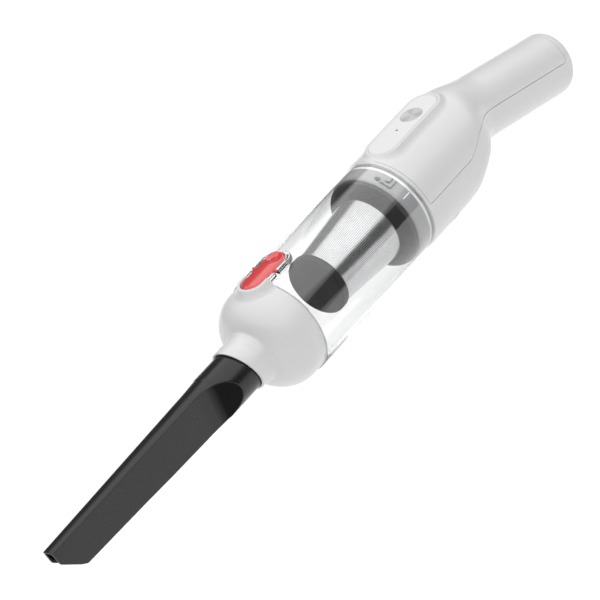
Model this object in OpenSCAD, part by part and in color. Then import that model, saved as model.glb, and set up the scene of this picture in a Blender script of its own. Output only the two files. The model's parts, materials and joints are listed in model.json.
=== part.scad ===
/* [Body] */
// Outer diameter of the clear dust cup and of the motor body
body_d = 72; // [71:0.5:73]
// Length of the clear dust cup
cup_len = 120.2; // [119:0.2:122]
// Wall thickness of the moulded covers
wall = 2; // [1.8:0.1:2.2]
// Wall thickness of the clear cup
cup_wall = 1.8; // [1.8:0.1:2]

/* [Handle] */
// Diameter of the round grip
grip_d = 44.4; // [44:0.2:45.6]
// Length of the straight grip behind the bend
grip_len = 97; // [96:0.5:104]
// Angle by which the grip drops below the body's axis
grip_drop = 13.63; // [13:0.1:14.2]

/* [Nose and tool] */
// Outer diameter of the inlet collar
neck_d = 35.4; // [35.2:0.1:36]
// Outer diameter of the crevice tool's round end
tool_d = 31.4; // [31:0.1:31.6]
// Length of the crevice tool that shows ahead of the collar
tool_len = 181; // [160:1:200]
// Thickness of the crevice tool's flat tip
tip_t = 8.3; // [8:0.1:9]

/* [Controls] */
// Diameter of the power button
button_d = 15.8; // [15:0.1:16]
// Travel of the power button
button_travel = 0.8; // [0.4:0.1:1]

/* [Hidden] */
$fn = 64;

// The part's origin is the middle of the inlet collar. Stations along the axis are counted
// from the joint between nose and cup, which lies this far behind the origin.
joint_x = 35;
body_r = body_d / 2;
cup_in = body_r - cup_wall;
gap = 0.3;

// Nose: dome, inlet collar and duct.
nose_r = body_r - 0.9;
dome_r = 22;
dome_x = -8;
neck_r = neck_d / 2;
lip_r = neck_r - 0.2;
mouth_x = -44;
mouth_tilt = 15;
collar_front = -39.3;
collar_back = -30.8;
tool_r = tool_d / 2;
neck_bore = tool_r + 0.05;
duct_r = 13.5;
duct_end = 8;
tool_stop = -14.5;
flat_end = -88;
flat_half = 6.1;
sweep_r = 50;

// Latch: a rocking lever in a pocket across the joint.
latch_front = -12.6;
latch_back = 25.2;
latch_w = 15.2;
latch_top = 39.4;
latch_low = 37;
latch_x = 7.9;
latch_z = 37.5;
latch_pin_r = 0.8;
rim_top = 38.4;

// Hinge under the joint.
hinge_x = 1.5;
hinge_z = -body_r - 2.25;
knuckle_r = 1.95;
knuckle_half = 3;
ear_in = knuckle_half + 0.4;
ear_out = 6;
hinge_pin_r = 0.8;

// Flap behind the inlet duct.
flap_t = 1.2;
flap_x = duct_end + 2;
flap_z = 17.2;

// Filter in the cup.
disc_x = 39.6;
disc_t = 5.2;
disc_r = 21.2;
mesh_x1 = disc_x + disc_t + 0.2;
mesh_x2 = 97.2;
mesh_r1 = 19.8;
mesh_r2 = 24.3;
flange_x2 = 102.6;
flange_r2 = 31.8;

// Sleeve that carries the cup, with its twist lock.
sleeve_x = 106.2;
sleeve_end = 126;
sleeve_r = cup_in - 0.3;
lug_x1 = 110.1;
lug_x2 = 112.7;
lug_at = 28.9;
lug_w = 3;
lock_turn = 8;
lug_count = 3;
collar_x2 = cup_len + 3.4;
shell_x1 = cup_len + 3.8;

// Handle shell: the body's circle runs into the round grip.
grip_r = grip_d / 2;
bend_x = 216;
grip_z0 = 6.85;
belly_slope = 0.8;
end_seam = 88.9;
end_round = 4.5;
part_z = 4.1;

// Control pad on top of the body.
pad_x1 = 128.8;
pad_x2 = 194.4;
pad_w = 20.2;
pad_z = 37.2;
pad_t = 1.2;
boss_grow = 2.4;
button_x = 172.6;
button_r = button_d / 2;
button_top = pad_z + 0.4;
light_x = 155.5;
board_z = 24;
board_t = 1.2;

// Fan and motor on the body's axis.
shroud_x = 127;
shroud_r = 27;
can_x1 = 143.5;
can_x2 = 172;
can_r = 17;
shaft_r = 1.5;
rotor_r = 9;
screw_x = 150;
screw_y = 24;
rear_screw_x = 211;
vent_count = 6;

// Battery in the grip, counted along the grip from the bend.
cell_r = 9.2;
cell_s = 20;
cell_len = 65;
cell_y = 9.45;

function smin(a, b, k) = (a + b - sqrt(pow(a - b, 2) + k * k)) / 2;
function smax(a, b, k) = (a + b + sqrt(pow(a - b, 2) + k * k)) / 2;
function ease(u) = let (t = min(max(u, 0), 1)) t * t * (3 - 2 * t);
function mix(a, b, s) = a * (1 - s) + b * s;

// Side profile of the shell at station x: grip axis, top, underside, half width, widest level.
function grip_z(x) = grip_z0 - (x - bend_x) * tan(grip_drop);
function grip_h() = grip_r / cos(grip_drop);
function top_z(x) = mix(body_r, grip_z(x) + grip_h(), ease((x - bend_x + 32) / 48));
function belly_z(x) = smax(-body_r, -14.5 + belly_slope * (x - bend_x + 10.5), 4);
function low_z(x) = smin(belly_z(x), grip_z(x) - grip_h(), 2);
function side_y(x) = smax(smin(body_r, 27.5 - 0.75 * (x - bend_x + 9.5), 4), grip_r, 4);
function mid_z(x) = mix(0, grip_z(x), ease((x - bend_x + 40) / 44));
function seam_z(x) = mix(part_z, grip_z(x) + part_z, ease((x - bend_x + 46) / 33));

// A ring leans from upright on the body to square across the grip.
function lean(u) = grip_r * sin(grip_drop) * ease((u - bend_x + 14) / 32);
function seam_angle(u) = let (x = u + 0.15 * lean(u))
    acos((seam_z(x) - mid_z(x)) / (top_z(x) - mid_z(x)));
function skin_point(u, a, t) = let (x = u + lean(u) * (1 - t / grip_r) * cos(a), m = mid_z(x))
    [x, -(side_y(x) - t) * sin(a),
     m + (cos(a) > 0 ? top_z(x) - m - t : m - low_z(x) - t) * cos(a)];

seam_x = bend_x + end_seam * cos(grip_drop);
rings = concat([shell_x1, 152, 168], [for (i = [1 : 14]) 168 + i * 4.4],
    [bend_x + 24, bend_x + 55]);

// Revolves an outline of [radius, station] points about the body's axis.
// Angles start at the top and grow towards the -Y side.
module spin(turn = 360) {
    rotate([0, 90, 0])
        rotate([0, 0, 180])
            rotate_extrude(angle = turn)
                children();
}

module from_joint() {
    translate([joint_x, 0, 0])
        children();
}

module rod(x1, x2, r) {
    translate([x1, 0, 0])
        rotate([0, 90, 0])
            cylinder(r = r, h = x2 - x1);
}

module tube(x1, x2, r, bore) {
    difference() {
        rod(x1, x2, r);
        rod(x1 - 1, x2 + 1, bore);
    }
}

// A rod across the body, parallel to Y.
module cross_rod(x, z, r, half) {
    translate([x, half, z])
        rotate([90, 0, 0])
            cylinder(r = r, h = 2 * half);
}

// A rounded slot outline between two stations, extruded upwards.
module stadium(x1, x2, w, z1, z2) {
    translate([0, 0, z1])
        linear_extrude(z2 - z1) {
            translate([x1 + w / 2, 0])
                circle(d = w);
            translate([x2 - w / 2, 0])
                circle(d = w);
            translate([x1 + w / 2, -w / 2])
                square([x2 - x1 - w, w]);
        }
}

// Moves children into the grip's frame: X runs along the grip from the bend.
module in_grip() {
    translate([bend_x, 0, grip_z0])
        rotate([0, grip_drop, 0])
            children();
}

// A strip of the shell from angle a1 to a2 of each ring, closed on all sides.
// The lower strip reaches into the grip's end and the upper one stops just short of it.
module skin(low_side, n) {
    stations = concat(rings, seam_x + (low_side ? 0.4 : -0.2));
    rows = len(stations);
    cols = n + 1;
    outer = [for (u = stations) for (j = [0 : n]) skin_point(u, skin_angle(u, j / n, low_side), 0)];
    inner = [for (u = stations) for (j = [0 : n]) skin_point(u, skin_angle(u, j / n, low_side), wall)];
    m = rows * cols;
    last = (rows - 1) * cols;
    body = [for (i = [0 : rows - 2]) for (j = [0 : n - 1]) let (p = i * cols + j)
        each [[p, p + cols, p + cols + 1], [p, p + cols + 1, p + 1],
              [m + p, m + p + cols + 1, m + p + cols], [m + p, m + p + 1, m + p + cols + 1]]];
    sides = [for (i = [0 : rows - 2]) let (p = i * cols, q = p + n)
        each [[p, m + p, m + p + cols], [p, m + p + cols, p + cols],
              [q, m + q + cols, m + q], [q, q + cols, m + q + cols]]];
    ends = [for (j = [0 : n - 1])
        each [[j, j + 1, m + j + 1], [j, m + j + 1, m + j],
              [last + j, m + last + j + 1, last + j + 1],
              [last + j, m + last + j, m + last + j + 1]]];
    polyhedron(points = concat(outer, inner), faces = concat(body, sides, ends), convexity = 8);
}

function skin_angle(u, f, low_side) = let (a = seam_angle(u) + (low_side ? 0.35 : -0.35))
    low_side ? mix(a, 360 - a, f) : mix(-a, a, f);

// ---------------------------------------------------------------- tool and nose

// The tool's outside, shrunk by t: a tapering round bar with a flat down each side, which
// sweeps out to the round end in a hollow curve.
module tool_form(t) {
    tip = mouth_x - tool_len;
    root = tool_stop + (t > 0 ? 1 : 0);
    difference() {
        union() {
            rod(-76, root, tool_r - t);
            translate([tip - 4, 0, 0])
                rotate([0, 90, 0])
                    cylinder(r1 = 12.2 - t, r2 = tool_r - 0.3 - t, h = -72 - tip);
        }
        for (s = [-1, 1]) {
            linear_extrude(60, center = true)
                polygon([[tip - 6, s * (tip_t / 2 - t)], [flat_end + 2, s * (flat_half + 0.1 - t)],
                    [flat_end + 2, s * 30], [tip - 6, s * 30]]);
            translate([flat_end, s * (flat_half + sweep_r), 0])
                cylinder(r = sweep_r + t, h = 60, center = true);
        }
    }
}

module crevice_tool() {
    tip = mouth_x - tool_len;
    color([0.1, 0.1, 0.1])
        from_joint()
            difference() {
                tool_form(0);
                tool_form(1.5);
                rotate([90, 0, 0])
                    linear_extrude(60, center = true)
                        polygon([[tip - 6, 20], [tip + 0.5, 12.5], [tip + 2.4, 2], [tip + 15, -9],
                            [tip + 22, -13.5], [tip + 22, -20], [tip - 6, -20]]);
            }
}

// Profile of the nose from its joint to the collar, moved inwards by t.
module nose_profile(t) {
    intersection() {
        translate([dome_r - 9, dome_x])
            circle(r = dome_r - t);
        translate([0, dome_x - dome_r])
            square([body_r, dome_r]);
    }
    translate([0, dome_x - 0.01])
        square([nose_r - t, -dome_x + 0.01 - max(t - wall, 0)]);
    translate([0, dome_x - 18])
        square([dome_r - 9, 18]);
}

module nose_cap() {
    color([0.93, 0.93, 0.93])
        from_joint()
            difference() {
                union() {
                    spin()
                        nose_profile(0);
                    intersection() {
                        rod(mouth_x - 10, dome_x, lip_r);
                        translate([mouth_x, 0, 0])
                            rotate([0, -mouth_tilt, 0])
                                translate([0, -40, -60])
                                    cube([60, 80, 120]);
                    }
                    rod(collar_front, collar_back, neck_r);
                    rod(collar_back, dome_x, neck_r + 0.5);
                    stadium(latch_front - 2.5, 12, latch_w + 5, 30, rim_top);
                    hinge_knuckle(-knuckle_half, knuckle_half, -7, -0.2);
                }
                difference() {
                    spin()
                        translate([0, 0.02])
                            nose_profile(wall);
                    rod(mouth_x, 2, neck_bore + wall);
                    stadium(latch_front - 1, 12, latch_w + 2, 30, rim_top);
                    stadium(latch_front - 2.5, 12, latch_w + 5, 34.4, rim_top);
                    translate([-9, -6, -40])
                        cube([12, 12, 7]);
                }
                rod(mouth_x - 10, tool_stop, neck_bore);
                rod(tool_stop - 1, duct_end + 2, duct_r);
                stadium(latch_front - 0.6, 30, latch_w + 1.2, 36, 50);
                translate([-1.2, 0, 0])
                    tube(0, 5, nose_r - 0.6, nose_r - 2.9);
                translate([0, -30, 20])
                    cube([20, 60, 20]);
                translate([0, -30, -body_r - 0.2])
                    cube([20, 60, 8]);
                cross_rod(hinge_x, hinge_z, hinge_pin_r + 0.05, 12);
            }
        from_joint()
            nose_inner();
}

// Duct into the cup, the flap's ears and the ridge that the latch hooks over.
module nose_inner() {
    tube(-1, duct_end, neck_bore + wall, duct_r);
    difference() {
        for (s = [-1, 1])
            translate([duct_end - 6, s * 8.2 - 1.2, 15])
                cube([9.8, 2.4, 4.2]);
        cross_rod(flap_x, flap_z, 0.85, 14);
        rod(0, 20, duct_r);
    }
    translate([-11, -5, 35])
        cube([1.3, 10, 1.85]);
}

// Knuckle of the lower hinge between two widths, with an arm that reaches to station x
// and a root that rises into the wall above, from station x to station root.
module hinge_knuckle(y1, y2, x, root) {
    translate([hinge_x, y2, hinge_z])
        rotate([90, 0, 0])
            cylinder(r = knuckle_r, h = y2 - y1);
    translate([min(x, hinge_x), y1, hinge_z - knuckle_r])
        cube([abs(x - hinge_x), y2 - y1, 2 * knuckle_r]);
    translate([min(x, root), y1, hinge_z])
        cube([abs(x - root), y2 - y1, 6.2]);
}

module nose_seal() {
    color([0.25, 0.25, 0.25])
        from_joint()
            tube(-1.2, 0.2, nose_r - 0.6, nose_r - 2.9);
}

module inlet_flap() {
    color([0.2, 0.2, 0.2])
        from_joint() {
            difference() {
                union() {
                    rod(duct_end + 0.3, duct_end + 0.3 + flap_t, duct_r + 2);
                    translate([duct_end + 0.3, -6.7, 10])
                        cube([flap_t, 13.4, flap_z - 10]);
                    cross_rod(flap_x, flap_z, 1.6, 6.7);
                }
                cross_rod(flap_x, flap_z, 0.83, 10);
            }
        }
}

module flap_pin() {
    color([0.7, 0.7, 0.72])
        from_joint()
            cross_rod(flap_x, flap_z, 0.8, 9.3);
}

module nose_hinge_pin() {
    color([0.7, 0.7, 0.72])
        from_joint()
            cross_rod(hinge_x, hinge_z, hinge_pin_r, ear_out);
}

// ---------------------------------------------------------------- latch

module latch_lever() {
    color([0.85, 0.15, 0.15])
        from_joint()
            difference() {
                union() {
                    stadium(latch_front, latch_back, latch_w, latch_low, latch_top - 0.8);
                    stadium(latch_front + 0.6, latch_back - 0.6, latch_w - 1.2,
                        latch_top - 0.9, latch_top);
                    cross_rod(latch_x, latch_z, 1.15, latch_w / 2);
                    translate([latch_front + 0.4, -4, 36.15])
                        cube([1.1, 8, 1]);
                }
                cross_rod(latch_x, latch_z, latch_pin_r + 0.03, 12);
                translate([18.2, 0, latch_top + 7.4])
                    sphere(r = 9);
            }
}

module latch_pin() {
    color([0.8, 0.15, 0.15])
        from_joint()
            cross_rod(latch_x, latch_z, latch_pin_r, 9.9);
}

// A bowed strip of spring steel under the thumb end of the lever.
module latch_spring() {
    bow = 18;
    color([0.75, 0.75, 0.78])
        from_joint()
            translate([17, 2.5, 36.95 - bow])
                rotate([90, 0, 0])
                    rotate([0, 0, 74])
                        rotate_extrude_strip(bow, 32);
}

module rotate_extrude_strip(r, turn) {
    rotate_extrude(angle = turn)
        translate([r - 0.25, 0])
            square([0.25, 5]);
}

// ---------------------------------------------------------------- dust cup and filter

// A block of a ring wall between two angles, counted from the top towards -Y.
module ring_block(x1, x2, r1, r2, a1, a2) {
    rotate([a1, 0, 0])
        spin(a2 - a1)
            translate([r1, x1])
                square([r2 - r1, x2 - x1]);
}

module dust_cup() {
    color([0.85, 0.92, 0.95, 0.35])
        from_joint()
            difference() {
                union() {
                    spin()
                        polygon([[cup_in, gap], [body_r, gap], [body_r, cup_len - 1],
                            [body_r - 0.6, cup_len], [cup_in, cup_len]]);
                    difference() {
                        intersection() {
                            stadium(-20, latch_back + 2.4, latch_w + 5.2, 30, rim_top);
                            translate([gap, -20, 30])
                                cube([60, 40, 20]);
                        }
                        stadium(-20, latch_back + 0.7, latch_w + 1.4, 29, 50);
                        rod(-5, 60, cup_in + 0.4);
                    }
                    difference() {
                        for (s = [-1, 1])
                            hinge_knuckle(min(s * ear_in, s * ear_out),
                                max(s * ear_in, s * ear_out), 9, gap);
                        rod(-10, 20, cup_in + 0.4);
                    }
                }
                cross_rod(latch_x, latch_z, latch_pin_r + 0.03, 9.95);
                cross_rod(hinge_x, hinge_z, hinge_pin_r + 0.05, 12);
                for (i = [0 : lug_count - 1])
                    rotate([i * 360 / lug_count, 0, 0]) {
                        ring_block(lug_x1 - gap, lug_x2 + gap, cup_in - 1, cup_in + 1,
                            lug_at - lug_w / 2 - 0.5, lug_at + lock_turn);
                        ring_block(lug_x1, cup_len + 1, cup_in - 1.2, cup_in + 1.1,
                            lug_at + lock_turn - lug_w / 2 - 0.5,
                            lug_at + lock_turn + lug_w / 2 + 0.5);
                    }
            }
}

module cup_seal() {
    color([0.2, 0.2, 0.2])
        from_joint()
            tube(117.05, 118.95, cup_in - 0.06, sleeve_r - 1);
}

module filter_end_cap() {
    color([0.22, 0.22, 0.23])
        from_joint()
            spin()
                polygon([[0, disc_x], [disc_r - 0.8, disc_x], [disc_r, disc_x + 0.8],
                    [disc_r, disc_x + disc_t], [0, disc_x + disc_t]]);
}

module filter_mesh() {
    color([0.75, 0.76, 0.78])
        from_joint()
            spin()
                polygon([[mesh_r1 - 0.5, mesh_x1], [mesh_r1, mesh_x1], [mesh_r2, mesh_x2],
                    [mesh_r2 - 0.5, mesh_x2]]);
}

module pleated_filter() {
    pleats = 30;
    color([0.95, 0.94, 0.9])
        from_joint()
            translate([mesh_x1 + 1, 0, 0])
                rotate([0, 90, 0])
                    linear_extrude(mesh_x2 - mesh_x1 - 2)
                        difference() {
                            polygon([for (i = [0 : 2 * pleats - 1])
                                let (r = i % 2 == 0 ? 18 : 14.6, a = i * 180 / pleats)
                                [r * cos(a), r * sin(a)]]);
                            circle(r = 12.6);
                        }
}

module filter_core() {
    color([0.3, 0.3, 0.31])
        from_joint()
            difference() {
                tube(mesh_x1 + 0.2, 101, 12.3, 10.8);
                for (i = [0 : 2], j = [0 : 3])
                    rotate([i * 60, 0, 0])
                        translate([51 + j * 11, -3, -15])
                            cube([7.5, 6, 30]);
            }
}

module filter_flange() {
    color([0.2, 0.2, 0.21])
        from_joint()
            spin()
                polygon([[12.6, mesh_x2 + 0.2], [mesh_r2 + 0.1, mesh_x2 + 0.2],
                    [flange_r2, flange_x2], [flange_r2, flange_x2 + 0.5],
                    [28, flange_x2 + 0.5], [28, 114], [26.5, 114], [26.5, flange_x2 - 1],
                    [22, mesh_x2 + 2], [12.6, mesh_x2 + 2]]);
}

module filter_seal() {
    color([0.08, 0.08, 0.08])
        from_joint()
            tube(flange_x2 + 0.7, sleeve_x - 0.2, sleeve_r - 1, 28.1);
}

// ---------------------------------------------------------------- motor body front

module bayonet_sleeve() {
    color([0.8, 0.81, 0.82])
        from_joint() {
            difference() {
                union() {
                    rod(sleeve_x, collar_x2, sleeve_r);
                    rod(sleeve_x, sleeve_end, sleeve_r - 0.3);
                }
                rod(sleeve_x + 1.6, sleeve_end + 1, sleeve_r - 2);
                rod(sleeve_x - 1, sleeve_end, 28.3);
                tube(117, 119, sleeve_r + 1, sleeve_r - 1.05);
            }
            for (i = [0 : lug_count - 1])
                rotate([i * 360 / lug_count, 0, 0])
                    ring_block(lug_x1, lug_x2, sleeve_r - 0.5, cup_in + 0.7,
                        lug_at - lug_w / 2, lug_at + lug_w / 2);
        }
}

module collar_ring() {
    color([0.93, 0.93, 0.93])
        from_joint()
            tube(cup_len + gap, collar_x2, body_r, sleeve_r + 0.05);
}

module intake_grid() {
    color([0.6, 0.6, 0.62])
        from_joint() {
            tube(120, 122, sleeve_r - 2.1, sleeve_r - 5);
            rod(120, 122, 6);
            for (i = [0 : 2])
                rotate([i * 60, 0, 0])
                    translate([120, -1, -29.5])
                        cube([2, 2, 59]);
            tube(120.3, 121.7, 18, 16.4);
        }
}

// ---------------------------------------------------------------- covers

module screw_post(x, y, z1, z2, r) {
    translate([x, y, z1])
        cylinder(r = r, h = z2 - z1);
}

module top_cover() {
    color([0.95, 0.95, 0.95])
        from_joint()
            difference() {
                union() {
                    skin(false, 28);
                    difference() {
                        stadium(pad_x1 - boss_grow, pad_x2 + boss_grow, pad_w + 2 * boss_grow,
                            32, pad_z);
                        rod(shell_x1, 200, body_r - wall + 0.6);
                    }
                    intersection() {
                        for (s = [-1, 1])
                            screw_post(screw_x, s * screw_y, part_z + 0.7, 30, 3.2);
                        rod(140, 160, body_r - 1);
                    }
                    screw_post(rear_screw_x, 0, seam_z(rear_screw_x) + 0.2,
                        top_z(rear_screw_x) - 1.2, 3.2);
                }
                stadium(pad_x1 - 0.15, pad_x2 + 0.15, pad_w + 0.3, pad_z - pad_t, pad_z + 5);
                screw_post(button_x, 0, 20, 50, button_r + 0.25);
                screw_post(light_x, 0, 20, 50, 1.3);
                for (s = [-1, 1])
                    screw_post(screw_x, s * screw_y, 0, 14, 1.28);
                screw_post(rear_screw_x, 0, 0, 22, 1.28);
            }
}

module lower_housing() {
    color([0.93, 0.93, 0.93])
        from_joint()
            difference() {
                union() {
                    skin(true, 32);
                    in_grip()
                        spin()
                            difference() {
                                polygon([[0, end_seam], [grip_r, end_seam],
                                    [grip_r, grip_len - end_round],
                                    for (a = [10 : 10 : 80])
                                        [grip_r - end_round * (1 - cos(a)),
                                         grip_len - end_round * (1 - sin(a))],
                                    [grip_r - end_round, grip_len], [0, grip_len]]);
                                square([grip_r - wall, grip_len - wall]);
                            }
                    intersection() {
                        for (s = [-1, 1])
                            screw_post(screw_x, s * screw_y, -30, part_z - 0.5, 3.2);
                        rod(140, 160, body_r - 1);
                    }
                    screw_post(rear_screw_x, 0, low_z(rear_screw_x) + 1.2,
                        seam_z(rear_screw_x) - 0.2, 3.2);
                }
                for (s = [-1, 1]) {
                    screw_post(screw_x, s * screw_y, -50, 10, 1.5);
                    screw_post(screw_x, s * screw_y, -50, -20, 2.8);
                }
                screw_post(rear_screw_x, 0, -50, 30, 1.5);
                screw_post(rear_screw_x, 0, -50, -10, 2.8);
                for (i = [0 : vent_count - 1])
                    translate([138 + i * 4, -13, -45])
                        cube([2, 26, 20]);
                in_grip()
                    translate([grip_len - 6, -4.6, -1.75])
                        cube([12, 9.2, 3.5]);
            }
}

module control_panel() {
    color([0.97, 0.97, 0.97])
        from_joint()
            difference() {
                stadium(pad_x1, pad_x2, pad_w, pad_z - pad_t + 0.02, pad_z + 0.1);
                screw_post(button_x, 0, 30, 50, button_r + 0.25);
                screw_post(light_x, 0, 30, 50, 0.75);
            }
}

module power_button() {
    color([0.78, 0.78, 0.79])
        from_joint() {
            screw_post(button_x, 0, 31.3, button_top, button_r);
            screw_post(button_x, 0, 31.3, 32.1, button_r + 1.2);
            screw_post(button_x, 0, 30.2, 31.4, 3);
        }
}

module status_light() {
    color([0.3, 0.35, 0.4])
        from_joint() {
            screw_post(light_x, 0, 25.4, 36, 1.2);
            screw_post(light_x, 0, 35.9, pad_z + 0.05, 0.7);
        }
}

// ---------------------------------------------------------------- electronics

module main_board() {
    color([0.1, 0.35, 0.15])
        from_joint()
            translate([147, -9, board_z])
                cube([48, 18, board_t]);
}

module push_switch() {
    color([0.2, 0.2, 0.2])
        from_joint()
            difference() {
                translate([button_x - 3, -3, board_z + board_t])
                    cube([6, 6, 3.6]);
                screw_post(button_x, 0, board_z + board_t + 1, 40, 1.75);
            }
}

module switch_plunger() {
    color([0.6, 0.2, 0.15])
        from_joint()
            screw_post(button_x, 0, board_z + board_t + 2.2, 30.1, 1.6);
}

module charge_board() {
    color([0.1, 0.35, 0.15])
        from_joint()
            in_grip()
                translate([89.4, -9, -2.9])
                    cube([5.2, 18, 1.2]);
}

module charge_port() {
    color([0.75, 0.75, 0.77])
        from_joint()
            in_grip()
                difference() {
                    translate([grip_len - 7.3, -4.45, -1.62])
                        cube([7.2, 8.9, 3.24]);
                    translate([grip_len - 6.3, -4.1, -1.3])
                        cube([8, 8.2, 2.6]);
                }
}

// ---------------------------------------------------------------- fan and motor

module fan_shroud() {
    color([0.72, 0.73, 0.75])
        from_joint()
            spin()
                polygon([[11, shroud_x], [16, shroud_x], [shroud_r, shroud_x + 3],
                    [shroud_r, 142.2], [shroud_r - 1.2, 142.2], [shroud_r - 1.2, shroud_x + 3.8],
                    [15.6, shroud_x + 1.2], [12.2, shroud_x + 1.2], [12.2, shroud_x + 2.2],
                    [11, shroud_x + 2.2]]);
}

module impeller() {
    blades = 9;
    x1 = shroud_x + 4.6;
    color([0.25, 0.26, 0.28])
        from_joint()
            difference() {
                union() {
                    rod(x1 + 7, x1 + 8.2, 24.6);
                    rod(x1, x1 + 9, 5);
                    for (i = [0 : blades - 1])
                        rotate([i * 360 / blades, 0, 0])
                            intersection() {
                                translate([0, 0, 14])
                                    translate([0, 10, 0])
                                        tube(x1 + 0.5, x1 + 7.1, 13, 12);
                                tube(x1, x1 + 7.1, 24.2, 4.9);
                                translate([x1, -14, 0])
                                    cube([8, 14, 30]);
                            }
                }
                rod(x1 - 1, x1 + 12, shaft_r + 0.01);
            }
}

module motor_shaft() {
    color([0.8, 0.8, 0.82])
        from_joint()
            rod(shroud_x + 3.6, can_x2 + 0.6, shaft_r);
}

module bearing(x) {
    tube(x, x + 4, 5, shaft_r + 0.03);
}

module front_bearing() {
    color([0.7, 0.7, 0.72])
        from_joint()
            bearing(can_x1 + 0.2);
}

module rear_bearing() {
    color([0.7, 0.7, 0.72])
        from_joint()
            bearing(can_x2 - 5.2);
}

module motor_rotor() {
    color([0.35, 0.35, 0.37])
        from_joint()
            tube(can_x1 + 6, can_x2 - 6.5, rotor_r, shaft_r + 0.01);
}

module motor_stator() {
    color([0.7, 0.4, 0.2])
        from_joint()
            difference() {
                rod(can_x1 + 6.5, can_x2 - 7, can_r - 1.3);
                rod(can_x1, can_x2, rotor_r + 0.6);
                for (i = [0 : 2])
                    rotate([i * 60, 0, 0])
                        translate([can_x1, -1.2, -14.4])
                            cube([30, 2.4, 28.8]);
            }
}

module motor_can() {
    color([0.6, 0.61, 0.63])
        from_joint()
            difference() {
                rod(can_x1 + 3, can_x2, can_r);
                rod(can_x1, can_x2 - 5.3, can_r - 1.2);
                rod(can_x1, can_x2 - 1.1, 5.05);
                rod(can_x1, can_x2 + 1, 2.2);
                for (i = [0 : 2])
                    rotate([i * 60 + 30, 0, 0])
                        translate([can_x1 + 11, -3, -20])
                            cube([9, 6, 40]);
            }
}

module motor_front_plate() {
    color([0.65, 0.66, 0.68])
        from_joint()
            difference() {
                union() {
                    rod(142.3, can_x1 + 0.1, shroud_r);
                    rod(can_x1, can_x1 + 5.2, 15);
                    rod(can_x1, can_x1 + 2.9, can_r);
                }
                rod(130, 160, 2.2);
                rod(can_x1 + 0.15, 160, 5.05);
                for (i = [0 : 7])
                    rotate([i * 45, 0, 0])
                        translate([0, 0, 22])
                            rod(140, 150, 3.4);
            }
}

module motor_mount() {
    color([0.15, 0.15, 0.15])
        from_joint()
            spin()
                polygon([[shroud_r + 0.05, 130.5], [body_r - wall - 0.3, 130.5],
                    [body_r - wall - 0.3, 133], [31.4, 134], [31.4, 136],
                    [body_r - wall - 0.3, 137], [body_r - wall - 0.3, 139.5],
                    [shroud_r + 0.05, 139.5]]);
}

module motor_bracket() {
    color([0.3, 0.3, 0.3])
        from_joint()
            difference() {
                rod(160.5, 162.5, body_r - wall - 0.5);
                rod(150, 170, can_r + 0.05);
                for (i = [0 : 5])
                    rotate([i * 60, 0, 0])
                        translate([0, 0, -25])
                            rod(150, 170, 4);
                translate([150, -11, 19])
                    cube([30, 22, 20]);
            }
}

module exhaust_foam() {
    color([0.25, 0.25, 0.26])
        from_joint()
            ring_block(140, 160, body_r - wall - 3, body_r - wall - 0.3, 155, 205);
}

// ---------------------------------------------------------------- battery

module cell(side) {
    in_grip()
        translate([0, side * cell_y, 0]) {
            rod(cell_s, cell_s + cell_len - 1, cell_r);
            rod(cell_s + cell_len - 1.1, cell_s + cell_len, 3);
        }
}

module battery_cell_left() {
    color([0.2, 0.5, 0.75])
        from_joint()
            cell(-1);
}

module battery_cell_right() {
    color([0.2, 0.5, 0.75])
        from_joint()
            cell(1);
}

module battery_cradle() {
    color([0.3, 0.3, 0.3])
        from_joint()
            in_grip() {
                rod(cell_s - 3.4, cell_s - 0.8, grip_r - wall - 0.6);
                rod(cell_s + cell_len + 0.6, cell_s + cell_len + 2.6, grip_r - wall - 0.6);
                for (z = [-1, 1])
                    translate([cell_s - 1, -2.2, z * 11.5 - 2.5])
                        cube([cell_len + 2, 4.4, 5]);
            }
}

module battery_tabs() {
    color([0.8, 0.79, 0.75])
        from_joint()
            in_grip()
                for (s = [cell_s - 0.6, cell_s + cell_len + 0.15])
                    translate([s, -14, -3.5])
                        cube([0.3, 28, 7]);
}

module housing_screws() {
    color([0.75, 0.75, 0.77])
        from_joint() {
            for (s = [-1, 1]) {
                screw_post(screw_x, s * screw_y, -20.5, 12, 1.25);
                screw_post(screw_x, s * screw_y, -22, -20.02, 2.6);
            }
            screw_post(rear_screw_x, 0, -10.5, 20, 1.25);
            screw_post(rear_screw_x, 0, -12, -10.02, 2.6);
        }
}

// A round wire through the given points, as one swept tube of eight sides.
module wire(path, r) {
    n = 8;
    rows = len(path);
    pts = [for (i = [0 : rows - 1])
        let (d = path[min(i + 1, rows - 1)] - path[max(i - 1, 0)],
             t = d / norm(d), s = cross(t, [0, 1, 0.01]), u = s / norm(s), v = cross(t, u))
        for (j = [0 : n - 1]) path[i] + r * (u * cos(j * 45) + v * sin(j * 45))];
    faces = concat(
        [[for (j = [0 : n - 1]) j]],
        [for (i = [0 : rows - 2]) for (j = [0 : n - 1]) let (p = i * n + j, q = i * n + (j + 1) % n)
            each [[p, p + n, q + n], [p, q + n, q]]],
        [[for (j = [n - 1 : -1 : 0]) (rows - 1) * n + j]]);
    polyhedron(points = pts, faces = faces, convexity = 4);
}

module motor_leads() {
    color([0.7, 0.1, 0.1])
        from_joint()
            for (s = [-1, 1])
                wire([[157, s * 7, 22.8], [162, s * 7, 21], [168, s * 7, 19.2], [172.5, s * 7, 17.4],
                    [175.5, s * 6.5, 13], [175.5, s * 6, 8], [173.2, s * 6, 5]], 0.9);
}

module battery_leads() {
    color([0.1, 0.1, 0.1])
        from_joint()
            for (s = [-1, 1])
                wire([[192, s * 6, 22.8], [198, s * 7, 21], [205, s * 8, 17], [213, s * 8, 13],
                    [222, s * 8.5, 8.5], [231, s * 8.5, 4.5]], 0.9);
}

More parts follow.
